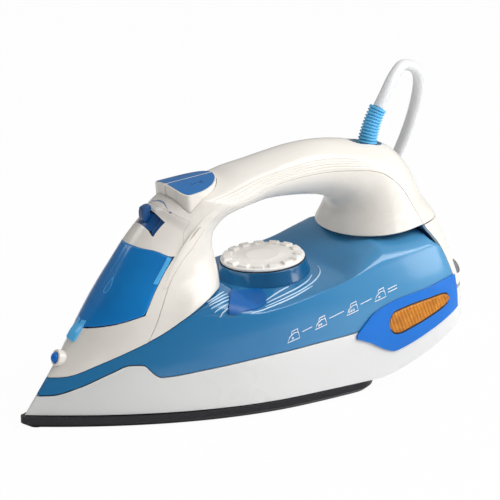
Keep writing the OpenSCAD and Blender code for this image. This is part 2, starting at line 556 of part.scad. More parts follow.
// How far the door reaches round the nose, in columns, with its upper corners rounded off
function door_k(s) = lookup(s, [[4, 2.87], [4.5, 2.84], [4.8, 2.78], [door_s1, 2.6]]);
door_rows_s = [door_s0 + door_gap, 2.5, 3, 3.5, 4, 4.5, 4.8, door_s1 - 3 * door_gap];
function door_rows(d) = [for (s = door_rows_s) [for (c = [-4 : 4]) let (k = abs(c) / 4 * door_k(s))
    handle_pt(s, k, c < 0 ? -1 : 1, d)]];
module water_door() color([0.05, 0.35, 0.75, 0.8]) placed()
    shell(door_rows(0), door_rows(1.6));
// The hinge lies above the door, just under the panel's wall, so that the door's sides swing clear
door_pin_z = 106.2;
door_pin_x = nose_x(door_pin_z) + 9.2;
door_pin_l = 14;
module door_pin() color([0.80, 0.81, 0.83]) placed() translate([door_pin_x, -door_pin_l / 2, door_pin_z])
    rotate([-90, 0, 0]) cylinder(d = door_pin_d, h = door_pin_l);
module inlet_funnel() color([0.85, 0.86, 0.86]) placed() translate([funnel_x, 0, panel_line(funnel_x) + 0.4])
    rotate([0, -atan2(52.8 - 43.6, 75 - 57), 0]) rotate_extrude()
    polygon([[5, -1.5], [6.6, -1.5], [6.6, 0], [9, 0], [13, 9], [11.4, 9], [7.4, 1.6], [5, 0]]);

// ---- buttons --------------------------------------------------------------------------------

button_z = 134.6;
button_tilt = 5.5;
button_x = 112.5;
module on_buttons() translate([button_x, 0, button_z]) rotate([0, -button_tilt, 0]) children();
function button_half(f) = f < 0.2 ? pow(1 - pow(1 - f / 0.2, 3), 0.5)
    : pow(max(0, 1 - pow((f - 0.2) / 0.8, 2.2)), 0.5);
module button_outline(grow = 0) {
    side = [for (k = [0 : 20]) let (f = crowd(k, 20))
        [(f - 0.5) * (button_l + 2 * grow), (button_hw + grow) * button_half(f)]];
    polygon(concat(side, [for (k = [19 : -1 : 1]) [side[k].x, -side[k].y]]));
}

// ---- nozzle ---------------------------------------------------------------------------------

ring_r = 5;
nozzle_z = 38.5;
module on_nozzle() translate([nose_x(nozzle_z), 0, nozzle_z]) rotate([0, -72, 0]) children();
module nozzle_ring() color([0.95, 0.95, 0.94]) placed() on_nozzle() rotate_extrude()
    polygon([[3.2, -5.5], [ring_r, -5.5], [ring_r, 1.6], [ring_r - 0.6, 2.2], [3.2, 2.2]]);
module nozzle() color([0.15, 0.45, 0.85]) placed() on_nozzle() difference() {
    rotate_extrude() polygon([[0, -9], [3.1, -9], [3.1, 3], [2.2, 4.2], [0, 4.2]]);
    translate([0, 0, 1]) cylinder(d = 0.9, h = 6, $fn = 16);
}

// ---- buttons, pumps and springs -------------------------------------------------------------

button_h = 14;
inlay_h = 1.4;
split = 0.35;            // half the gap between the two buttons
// One half of the outline, side = -1 for the near button
module half_outline(side, inset) intersection() {
    button_outline(-inset);
    translate([-60, side > 0 ? split + inset : -60 - split - inset]) square([120, 60]);
}
module button(side) difference() {
    translate([0, 0, -button_h]) linear_extrude(button_h) half_outline(side, 0);
    translate([0, 0, -inlay_h]) linear_extrude(button_h) half_outline(side, 0.9);
}
module inlay(side) translate([0, 0, -inlay_h]) linear_extrude(inlay_h + 0.3) half_outline(side, 0.95);
module spray_button() color([0.95, 0.95, 0.94]) placed() on_buttons() button(-1);
module burst_button() color([0.95, 0.95, 0.94]) placed() on_buttons() button(1);
module spray_inlay() color([0.20, 0.45, 0.75]) placed() on_buttons() inlay(-1);
module burst_inlay() color([0.20, 0.45, 0.75]) placed() on_buttons() inlay(1);

stem_d = 4;
pump_top = -24;          // below the buttons' top, along their travel
pump_l = 24;
module on_pump(side) on_buttons() translate([pump_x - button_x, side * pump_y, 0]) children();
cap_h = 1.6;             // cap of the barrel, which the spring rests on
module pump(side) on_pump(side) difference() {
    translate([0, 0, pump_top - pump_l]) cylinder(r = pump_r, h = pump_l);
    translate([0, 0, pump_top - pump_l + 2]) cylinder(d = piston_d + 2 * run_gap, h = pump_l - 2 - cap_h);
    translate([0, 0, pump_top - 2 * cap_h]) cylinder(d = stem_d + 2 * run_gap, h = 3 * cap_h);
    translate([0, 0, pump_top - pump_l - 1]) cylinder(d = 2, h = 4);
}
piston_top = pump_top - cap_h - 0.4;
piston_l = 6;
module piston(side) on_pump(side) {
    translate([0, 0, piston_top - 1]) cylinder(d = stem_d, h = 1 - piston_top - button_h);
    translate([0, 0, piston_top - piston_l]) cylinder(d = piston_d, h = piston_l);
}
spring_r = stem_d / 2 + 1.6;
module spring(side) on_pump(side) {
    turns = 4;
    z0 = pump_top + spring_wire / 2 + 0.05;
    z1 = -button_h - spring_wire / 2 - 0.05;
    rings = [for (k = [0 : turns * 12]) let (a = 30 * k, f = k / (turns * 12), z = mix(z0, z1, f))
        [for (b = [0 : 5]) let (r = spring_r + spring_wire / 2 * cos(60 * b))
            [r * cos(a), r * sin(a), z + spring_wire / 2 * sin(60 * b)]]];
    tube(rings);
}
// A solid through closed rings of points
module tube(rings) {
    n = len(rings);
    m = len(rings[0]);
    polyhedron(points = flat(rings), faces = concat(
        [for (i = [0 : n - 2]) for (j = [0 : m - 1]) let (a = i * m + j, b = i * m + (j + 1) % m)
            each [[a, a + m, b + m], [a, b + m, b]]],
        [[for (j = [0 : m - 1]) j], [for (j = [m - 1 : -1 : 0]) (n - 1) * m + j]]));
}
module spray_pump() color([0.86, 0.88, 0.90]) placed() pump(-1);
module burst_pump() color([0.86, 0.88, 0.90]) placed() pump(1);
module spray_piston() color([0.55, 0.57, 0.60]) placed() piston(-1);
module burst_piston() color([0.55, 0.57, 0.60]) placed() piston(1);
module spray_spring() color([0.78, 0.79, 0.80]) placed() spring(-1);
module burst_spring() color([0.78, 0.79, 0.80]) placed() spring(1);

// Round tube swept through points, each ring square to the way on
function unit(v) = v / norm(v);
function sweep_rings(path, r, sides = 8) = [for (i = [0 : len(path) - 1])
    let (t = unit(path[min(i + 1, len(path) - 1)] - path[max(i - 1, 0)]),
        side = unit(cross(t, abs(t.z) > 0.9 ? [0, 1, 0] : [0, 0, 1])), up = cross(side, t),
        w = is_list(r) ? r[i] : r)
    [for (a = [0 : sides - 1]) path[i] + w * (side * cos(360 * a / sides) + up * sin(360 * a / sides))]];
spray_hose_path = [[33.4, 0, 35.67], [34.4, 0, 35.4], [36.6, -0.6, 36.6], [39.5, -3, 41], [45, -9, 48.5],
    [55, -15.5, 57],
    [66, -16.5, 64], [80, -14, 69.5], [94, -11, 73.5], [102, -10, 77], [107.2, -pump_y, 81],
        [108.9, -pump_y, 85.4]];
module spray_hose() color([0.80, 0.82, 0.84]) placed() tube(sweep_rings(spray_hose_path, 1.5));
burst_top = 86;
module burst_tube() color([0.80, 0.80, 0.80]) placed() translate([burst_x, pump_y, cover_z + cover_h])
    cylinder(d = 3, h = burst_top - cover_z - cover_h);

// ---- steam lever ----------------------------------------------------------------------------

// The axis stands square to the window's lower and upper edge, so the saddle is a cone round it
lever_lean = 30;
lever_line = atan2(lever_x1 - lever_x0, lever_z1 - lever_z0);
lever_l = norm([lever_x1 - lever_x0, lever_z1 - lever_z0]);
lever_half = lever_l / 2 * cos(lever_line - lever_lean);       // half height of the window along the axis
lever_fall = lever_l / 2 * sin(lever_line - lever_lean);       // what the saddle's radius gives over that
lever_depth = 12;        // the axis lies this far inside the nose line
saddle_r = lever_depth - 0.7;
saddle_half = 62 + lever_swing;
module on_lever() translate([(lever_x0 + lever_x1) / 2, 0, (lever_z0 + lever_z1) / 2])
    rotate([0, lever_lean, 0])
    translate([lever_depth, 0, 0]) children();
module steam_lever() color([0.08, 0.15, 0.40]) placed() on_lever() {
    h = lever_half - 2 * seam_gap;
    fall = lever_fall * h / lever_half;
    difference() {
        union() {
            rotate([0, 0, 180 - saddle_half]) rotate_extrude(angle = 2 * saddle_half) polygon([
                [saddle_r + fall - 2.6, 0.7 - h], [saddle_r + fall, 0.7 - h], [saddle_r - fall, h],
                [saddle_r - fall - 2.6, h]]);
            translate([-saddle_r, -2, -h + 1]) cube([saddle_r, 4, h]);
            translate([0, 0, -h + 1]) cylinder(r = 4.5, h = 2 * h - 2);
            translate([0, 2.5, 0]) rotate([90, 0, 0]) linear_extrude(5) polygon([[-saddle_r, -1],
                [-saddle_r - 2.9, 1.5], [-saddle_r - 5.2, 6.2], [-saddle_r - 1.7, 10.1], [-saddle_r, 8.6],
                [-saddle_r - 0.2, 5.1], [-saddle_r + 2, 4.2], [-saddle_r + 2, 1]]);
        }
        translate([0, 0, -20]) cylinder(d = lever_pin_d + 2 * run_gap, h = 40);
    }
}
bracket_z = -13;
module lever_pin() color([0.78, 0.79, 0.80]) placed() on_lever() translate([0, 0, bracket_z])
    cylinder(d = lever_pin_d, h = lever_half - bracket_z);
module lever_bracket() color([0.84, 0.84, 0.82]) placed() difference() {
    on_lever() translate([0, 0, bracket_z - 1]) {
        translate([-2, -16.1, 0]) cube([10, 32.2, 2.4]);
        cylinder(r = 4.5, h = 6);
    }
    on_lever() translate([0, 0, bracket_z]) cylinder(d = lever_pin_d, h = 30);
}

// ---- trims, lenses and lamps ----------------------------------------------------------------

function lens_axis(x) = lookup(x - tail, [[195, 37.2], [221, 41], [228, 41.6], [236, 43.2], [252, 46.3],
    [263, 48.4], [278, 50]]);
function lens_half(x) = lookup(x - tail, [[195, 0.5], [219, 2], [221, 5], [224, 7.4], [229, 8.2],
    [236, 7.8], [252, 6.1], [262.7, 4], [266, 1.6], [278, 1.2]]);
trim_xs = [for (x = [196, 201.5, 206, 211, 217.5, 221, 224, 229, 236, 245, 254, 260, 264, 267, 272,
    276]) x + tail];
trim_out = 1.3;
module on_flank(side, levels, xs, d0, d1, keep) {
    grid = function(d) [for (x = xs) [for (z = levels(x)) [x, side * half_w(x, z, d), z]]];
    if (side < 0) shell(grid(d0), grid(d1), keep);
    else shell(grid(d1), grid(d0), keep);
}
trim_levels = function(x) [trim_low(x), lens_axis(x) - lens_half(x), lens_axis(x) + lens_half(x),
    trim_top(x)];
lens_levels = function(x) let (h = lens_half(x) - 0.25) [for (k = [-1, -0.5, 0, 0.5, 1]) lens_axis(x)
    + h * k];
lens_x0 = 221 + tail;
lens_x1 = 267 + tail;
lens_xs = [for (x = trim_xs) if (x > lens_x0 - 1 && x < lens_x1 + 1) clamp(x, lens_x0 + seam_gap, lens_x1
    - seam_gap)];
module trim(side) on_flank(side, trim_levels, trim_xs, -trim_out, -0.3,
    function(i, j) !(j == 1 && trim_xs[i] > lens_x0 - 1 && trim_xs[i] < lens_x1 - 1));
module lens(side) on_flank(side, lens_levels, lens_xs, -trim_out - 0.5, -0.3, function(i, j) true);
module trim_left() color([0.10, 0.40, 0.85]) placed() trim(-1);
module trim_right() color([0.10, 0.40, 0.85]) placed() trim(1);
module lens_left() color([0.95, 0.60, 0.15, 0.85]) placed() lens(-1);
module lens_right() color([0.95, 0.60, 0.15, 0.85]) placed() lens(1);
// A lamp on a thin board behind the skirt's window
lamp_x = 242 + tail;
lamp_z = 39.4;
module lamp(side) {
    on_flank(side, function(x) [lamp_z - 5, lamp_z, lamp_z + 1.4],
        [lamp_x - 13, lamp_x - 6, lamp_x + 6, lamp_x + 13],
        wall + 0.3, wall + 1.8, function(i, j) true);
    translate([lamp_x, side * half_w(lamp_x, lamp_z, wall + 1), lamp_z]) rotate([-side * 90, 0, 0])
        cylinder(r = 2.2, h = wall);
}
module lamp_left() color([0.95, 0.90, 0.80]) placed() lamp(-1);
module lamp_right() color([0.95, 0.90, 0.80]) placed() lamp(1);

// Dark blue marker on the tank's shoulder, below the dial
MARKER_W = [0.02, 0.12, 0.22, 0.32, 0.42, 0.5];
function marker_rows(d) = [for (k = [0 : 4]) [for (w = MARKER_W) let (x = mix(112, 133,
    k / 4) + (1 - k / 4) * 26 * w,
    p = crown_pt(x, w, 0)) [x, p.y - d * (1 - 0.8 * w), p.z + d * w * 2.4]]];
module dial_pointer() color([0.02, 0.20, 0.55]) placed() shell(marker_rows(1.7), marker_rows(0.5));

// ---- mains connection -----------------------------------------------------------------------

module terminal_block() color([0.30, 0.32, 0.34]) placed() difference() {
    translate([224 + tail, -10, 90.1]) cube([26, 20, 13]);
    for (x = [230, 237, 244]) translate([x + tail, 0, 96]) cylinder(d = 4, h = 10);
}
module cord_clamp() color([0.85, 0.85, 0.83]) placed() difference() {
    translate([boot_x - 11, -17.6, 120]) cube([22, 35.2, 5]);
    translate([boot_x, 0, 119]) cylinder(d = cord_d + 1, h = 7);
}
boot_x = 237.5 + tail;
boot_z = 125.2;
boot_turn = 66;          // radius of the boot's bend
boot_a0 = -2;
boot_a1 = 30;
boot_tip_r = 5.4;
function boot_pt(f) = let (a = mix(boot_a0, boot_a1, f))
    [boot_x + boot_turn * (cos(boot_a0) - cos(a)), 0, boot_z + boot_turn * (sin(a) - sin(boot_a0))];
boot_path = [for (k = [0 : 12]) boot_pt(k / 12)];
module boot() color([0.15, 0.45, 0.90]) placed()
    tube(sweep_rings(boot_path, [for (k = [0 : 12]) mix(boot_r, boot_tip_r, k / 12)], 16));

// Way of the free cord, from the boot's tip over and down behind the heel to the coil
cord_way = [[251.5, 0.5, 168.5], [257, 2, 176], [264, 5, 181.5], [271, 9, 183], [281, 14, 180],
    [290, 21, 174],
    [297, 29, 165], [302, 38, 153], [306, 48, 139], [308, 58, 123], [308, 68, 106], [306, 77, 88],
        [303, 86, 70],
    [298, 94, 53], [292, 102, 38], [286, 109, 26], [279, 116, 17.5], [272.6, 121.6, 12.6]];
cord_path = concat([boot_pt(1) + 0.4 * [sin(boot_a1), 0, cos(boot_a1)]],
    [for (p = cord_way) p + [tail, 0, 0]]);
coil = [222 + tail, 132, 0.3];  // middle of the coil on the floor
coil_w = 21.4;
coil_h = 14.4;
module cord() color([0.93, 0.93, 0.92]) placed() tube(sweep_rings(cord_path, cord_d / 2));
module cord_coil() color([0.93, 0.93, 0.92]) placed() translate(coil) rotate_extrude()
    translate([coil_r - coil_w / 2, 0]) square([coil_w, coil_h]);
plug_x = coil.x + 49;
plug_z = 13;             // height of the plug's axis as it lies on the floor
plug_l = 38;             // length of the plug's body
plug_r = 12.6;
plug_neck_r = 6;
lead_y = coil.y - coil_r - coil_w / 2 + cord_d / 2;
lead_path = [[26.6, 5.6], [34, 9.8], [42, 12.4], [48.8, plug_z]];
lead_line = [for (p = lead_path) [coil.x + p[0], lead_y, p[1]]];
module cord_lead() color([0.93, 0.93, 0.92]) placed() tube(sweep_rings(lead_line, cord_d / 2));
module plug_body() color([0.93, 0.93, 0.92]) placed() translate([plug_x, lead_y, plug_z]) rotate([0, 90, 0]) {
    cylinder(r = plug_neck_r, h = 14);
    translate([0, 0, 14]) cylinder(r1 = plug_neck_r, r2 = plug_r, h = 8);
    translate([0, 0, 22]) linear_extrude(plug_l - 22) for (s = [-1, 1]) hull() {
        translate([0, s * 6]) circle(r = plug_r);
        circle(r = plug_r);
    }
}
module plug_pins() color([0.82, 0.80, 0.74]) placed() for (s = [-1, 1])
    translate([plug_x + plug_l, lead_y + s * plug_pitch / 2, plug_z]) rotate([0, 90, 0]) {
        cylinder(d = plug_pin_d, h = plug_pin_l - 1);
        translate([0, 0, plug_pin_l - 1]) cylinder(d1 = plug_pin_d, d2 = plug_pin_d - 1.6, h = 1);
    }

soleplate();
sole_casting();
heating_element();
chamber_cover();
thermostat();
thermal_fuse();
skirt();
heel_base();
heel_feet();
tank();
tank_base();
valve_seat();
valve_rod();
dial_turret();
dial_pointer();
dial();
dial_spindle();
nose_panel();
handle_top();
handle_inner();
rear_cover();
water_door();
door_pin();
inlet_funnel();
steam_lever();
lever_pin();
lever_bracket();
spray_button();
spray_inlay();
burst_button();
burst_inlay();
spray_pump();
burst_pump();
spray_piston();
burst_piston();
spray_spring();
burst_spring();
nozzle();
nozzle_ring();
spray_hose();
burst_tube();
trim_left();
trim_right();
lens_left();
lens_right();
lamp_left();
lamp_right();
terminal_block();
cord_clamp();
screws();
boot();
cord();
cord_coil();
cord_lead();
plug_body();
plug_pins();
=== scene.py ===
"""A steam iron dressed for display: smooth shells, controls, trims, cord and a pale studio.

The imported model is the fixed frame. Inside the forms, lengths are millimetres and x counts from the
toe; at() turns them to the frame's metres.
"""

from __future__ import annotations

import json
import logging
import math
from bisect import bisect_right
from collections.abc import Callable, Sequence
from dataclasses import dataclass, field
from enum import Enum

import bmesh
import bpy
from mathutils import Matrix, Vector

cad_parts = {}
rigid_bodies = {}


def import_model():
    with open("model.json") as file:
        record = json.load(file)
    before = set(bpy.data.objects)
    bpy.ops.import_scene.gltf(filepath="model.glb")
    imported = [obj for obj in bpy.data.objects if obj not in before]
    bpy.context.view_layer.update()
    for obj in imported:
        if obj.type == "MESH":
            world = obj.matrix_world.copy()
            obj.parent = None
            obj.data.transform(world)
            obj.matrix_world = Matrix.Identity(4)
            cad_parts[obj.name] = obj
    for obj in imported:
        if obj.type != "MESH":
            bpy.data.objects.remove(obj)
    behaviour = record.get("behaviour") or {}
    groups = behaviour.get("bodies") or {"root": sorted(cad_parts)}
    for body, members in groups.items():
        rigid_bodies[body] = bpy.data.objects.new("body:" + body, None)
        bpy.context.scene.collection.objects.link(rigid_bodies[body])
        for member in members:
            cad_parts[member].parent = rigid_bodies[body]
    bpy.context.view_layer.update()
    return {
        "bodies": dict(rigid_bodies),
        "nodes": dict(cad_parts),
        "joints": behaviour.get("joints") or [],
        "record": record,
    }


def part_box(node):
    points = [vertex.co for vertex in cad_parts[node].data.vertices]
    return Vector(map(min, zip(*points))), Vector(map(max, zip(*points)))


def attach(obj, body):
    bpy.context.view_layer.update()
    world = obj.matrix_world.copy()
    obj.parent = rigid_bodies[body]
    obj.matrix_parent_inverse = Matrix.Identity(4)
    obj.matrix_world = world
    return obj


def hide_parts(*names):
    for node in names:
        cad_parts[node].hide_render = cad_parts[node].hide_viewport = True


LOG = logging.getLogger("iron")
MM = 0.001
BODY_L = 291.0
NEAR, FAR = -1, 1
Place = Callable[[float, float], Vector]


# ---- numbers and places ---------------------------------------------------------------------


def at(x: float, y: float, z: float) -> Vector:
    """Turns millimetres from the toe into a point of the frame, in metres."""
    return Vector(((x - BODY_L / 2) * MM, y * MM, z * MM))


def mix(a: float, b: float, f: float) -> float:
    """Goes from a to b as f goes from 0 to 1."""
    return a + (b - a) * f


def clamp(v: float, lo: float, hi: float) -> float:
    """Keeps v between lo and hi."""
    return min(max(v, lo), hi)


def ease(v: float) -> float:
    """Goes smoothly from 0 to 1 as v does."""
    v = clamp(v, 0.0, 1.0)
    return v * v * (3 - 2 * v)


def steps(lo: float, hi: float, count: int) -> list[float]:
    """Gives count + 1 evenly spaced numbers from lo to hi."""
    return [mix(lo, hi, k / count) for k in range(count + 1)]


def numbers(last: int) -> list[float]:
    """Gives the whole numbers from 0 to last, exactly."""
    return [float(k) for k in range(last + 1)]


def both_ways(half: Sequence[float]) -> list[float]:
    """Mirrors rising numbers that start at 0 to the other side of it."""
    return [-c for c in reversed(half[1:])] + list(half)


def hermite(t: float, a: float, b: float, slope_a: float, slope_b: float) -> float:
    """Goes from a to b as t goes from 0 to 1, with the slopes given at both ends."""
    t2, t3 = t * t, t * t * t
    return (
        (2 * t3 - 3 * t2 + 1) * a + (t3 - 2 * t2 + t) * slope_a
        + (3 * t2 - 2 * t3) * b + (t3 - t2) * slope_b
    )


def refine(stops: Sequence[float], step: float) -> list[float]:
    """Fills in between stops so that none are further apart than step, and keeps every stop.

    Args:
        stops: Rising numbers that have to be in the result.
        step: The largest distance wanted.

    Returns:
        The stops with evenly spaced numbers between them.
    """
    out = [stops[0]]
    for a, b in zip(stops, stops[1:]):
        count = max(1, math.ceil((b - a) / step))
        out += [mix(a, b, k / count) for k in range(1, count + 1)]
    return out


class Curve:
    """A smooth line through given places that never swings past them."""

    def __init__(self, *knots: tuple[float, float]) -> None:
        """Works out the slope at each knot.

        Args:
            knots: Pairs of place and value, places rising.
        """
        self.xs = [k[0] for k in knots]
        self.ys = [k[1] for k in knots]
        rise = [
            (self.ys[i + 1] - self.ys[i]) / (self.xs[i + 1] - self.xs[i])
            for i in range(len(knots) - 1)
        ]
        self.slopes = [rise[0]]
        for a, b in zip(rise, rise[1:]):
            self.slopes.append(0.0 if a * b <= 0 else 2 * a * b / (a + b))
        self.slopes.append(rise[-1])

    def __call__(self, x: float) -> float:
        """Gives the value at x, level beyond both ends."""
        if x <= self.xs[0]:
            return self.ys[0]
        if x >= self.xs[-1]:
            return self.ys[-1]
        i = bisect_right(self.xs, x) - 1
        h = self.xs[i + 1] - self.xs[i]
        t = (x - self.xs[i]) / h
        return hermite(t, self.ys[i], self.ys[i + 1], h * self.slopes[i], h * self.slopes[i + 1])


def through(points: Sequence[Vector], per: int) -> list[Vector]:
    """Threads a smooth line through points.

    Args:
        points: Places that the line passes.
        per: How many pieces each stretch is cut into.

    Returns:
        The line as close points.
    """
    out: list[Vector] = []
    for i in range(len(points) - 1):
        p0 = points[max(i - 1, 0)]
        p1, p2 = points[i], points[i + 1]
        p3 = points[min(i + 2, len(points) - 1)]
        for k in range(per):
            t = k / per
            bow = (2 * p0 - 5 * p1 + 4 * p2 - p3) * t * t + (3 * p1 - p0 - 3 * p2 + p3) * t**3
            out.append(0.5 * (2 * p1 + (p2 - p0) * t + bow))
    out.append(points[-1].copy())
    return out


# ---- materials ------------------------------------------------------------------------------


def hex_linear(code: str) -> tuple[float, float, float, float]:
    """Turns an sRGB hex colour into linear red, green, blue and full alpha."""
    parts = [int(code[k : k + 2], 16) / 255 for k in (1, 3, 5)]
    red, green, blue = (
        c / 12.92 if c <= 0.04045 else ((c + 0.055) / 1.055) ** 2.4 for c in parts
    )
    return (red, green, blue, 1.0)


def add_node(
    tree: bpy.types.NodeTree,
    kind: str,
    settings: dict[str, object] | None = None,
    links: dict[str | int, bpy.types.NodeSocket] | None = None,
) -> bpy.types.Node:
    """Adds a node with its settings and links.

    Args:
        tree: The node tree it goes into.
        kind: Blender's name of the node type.
        settings: Values by property name, or by input name or number where there is no such
            property.
        links: Output sockets by the input that they go to.

    Returns:
        The new node.
    """
    node = tree.nodes.new(kind)
    for key, value in (settings or {}).items():
        if isinstance(key, str) and key in node.bl_rna.properties:
            setattr(node, key, value)
        else:
            node.inputs[key].default_value = value
    for key, source in (links or {}).items():
        tree.links.new(source, node.inputs[key])
    return node


MOTTLE_SPAN = (0.35, 0.65)
GLOSS_SPAN = (0.3, 0.7)
COAT_ROUGHNESS = 0.06
GRAIN_STRENGTH = 0.6
LIGHT_REACH = (1.0, 0.9, 0.8)


@dataclass(frozen=True)
class Finish:
    """One real material with its colour, gloss and the grain that its making leaves.

    The mottle is a slow drift of colour, the grain a fine relief, and both have real sizes. Where a
    fade is set, the two colours run along X instead: painted light and shade.
    """

    name: str
    colour: str
    # The second colour: the mottle drifts to it; where a fade is set, it is the colour at the fade's
    # far end and paints light
    drift: str
    roughness: float = 0.3
    roughness_spread: float = 0.05
    ior: float = 1.5
    metallic: float = 0.0
    mottle_mm: float = 30.0
    grain_mm: float = 0.8
    grain_depth_mm: float = 0.01
    stretch: tuple[float, float, float] = (1.0, 1.0, 1.0)
    coat: float = 0.0
    transmission: float = 0.0
    subsurface: float = 0.0
    subsurface_mm: float = 2.0
    glow: float = 0.0
    # Ends in metres along X of a colour fade that paints light and shade
    painted_light_fade_m: tuple[float, float] | None = None

    def along(self, tree: bpy.types.NodeTree, place: bpy.types.Node) -> bpy.types.Node:
        """Adds the nodes that blend the two colours from one end of the iron to the other, which
        paints light and shade along X.

        Args:
            tree: The material's nodes.
            place: The texture coordinate node.

        Returns:
            The node whose "Result" goes from 0 to 1 along X.
        """
        split = add_node(tree, "ShaderNodeSeparateXYZ", None, {0: place.outputs["Object"]})
        return add_node(
            tree, "ShaderNodeMapRange",
            {"From Min": self.painted_light_fade_m[0], "From Max": self.painted_light_fade_m[1], "To Min": 0.0, "To Max": 1.0},
            {"Value": split.outputs["X"]},
        )

    def build(self) -> bpy.types.Material:
        """Makes the material once, and gives the same one after that."""
        found = bpy.data.materials.get(self.name)
        if found is not None:
            return found
        material = bpy.data.materials.new(self.name)
        material.use_nodes = True
        tree = material.node_tree
        shader = tree.nodes["Principled BSDF"]
        place = add_node(tree, "ShaderNodeTexCoord")
        lie = add_node(
            tree, "ShaderNodeMapping", {"Scale": self.stretch}, {"Vector": place.outputs["Object"]}
        )
        mottle = add_node(
            tree, "ShaderNodeTexNoise",
            {"Scale": 1000 / self.mottle_mm, "Detail": 3.0, "Roughness": 0.55},
            {"Vector": lie.outputs["Vector"]},
        )
        grain = add_node(
            tree, "ShaderNodeTexNoise", {"Scale": 1000 / self.grain_mm, "Detail": 2.0},
            {"Vector": lie.outputs["Vector"]},
        )
        spread = add_node(
            tree, "ShaderNodeMapRange",
            {"From Min": MOTTLE_SPAN[0], "From Max": MOTTLE_SPAN[1], "To Min": 0.0, "To Max": 1.0},
            {"Value": mottle.outputs["Fac"]},
        )
        # With a fade, the two colours follow X instead of the mottle: painted light and shade
        tone = add_node(
            tree, "ShaderNodeMix",
            {"data_type": "RGBA", 6: hex_linear(self.colour), 7: hex_linear(self.drift)},
            {0: (spread if self.painted_light_fade_m is None else self.along(tree, place)).outputs["Result"]},
        )
        gloss = add_node(
            tree, "ShaderNodeMapRange",
            {
                "From Min": GLOSS_SPAN[0], "From Max": GLOSS_SPAN[1],
                "To Min": max(0.02, self.roughness - self.roughness_spread),
                "To Max": self.roughness + self.roughness_spread,
            },
            {"Value": mottle.outputs["Fac"]},
        )
        relief = add_node(
            tree, "ShaderNodeBump",
            {"Strength": GRAIN_STRENGTH, "Distance": self.grain_depth_mm * MM},
            {"Height": grain.outputs["Fac"]},
        )
        tree.links.new(tone.outputs[2], shader.inputs["Base Color"])
        tree.links.new(gloss.outputs["Result"], shader.inputs["Roughness"])
        tree.links.new(relief.outputs["Normal"], shader.inputs["Normal"])
        plain: dict[str, object] = {
            "Metallic": self.metallic,
            "IOR": self.ior,
            "Coat Weight": self.coat,
            "Coat Roughness": COAT_ROUGHNESS,
            "Transmission Weight": self.transmission,
            "Subsurface Weight": self.subsurface,
            "Subsurface Scale": self.subsurface_mm * MM,
            "Subsurface Radius": LIGHT_REACH,
        }
        if self.glow:
            plain |= {"Emission Color": hex_linear(self.colour), "Emission Strength": self.glow}
        for key, value in plain.items():
            shader.inputs[key].default_value = value
        return material


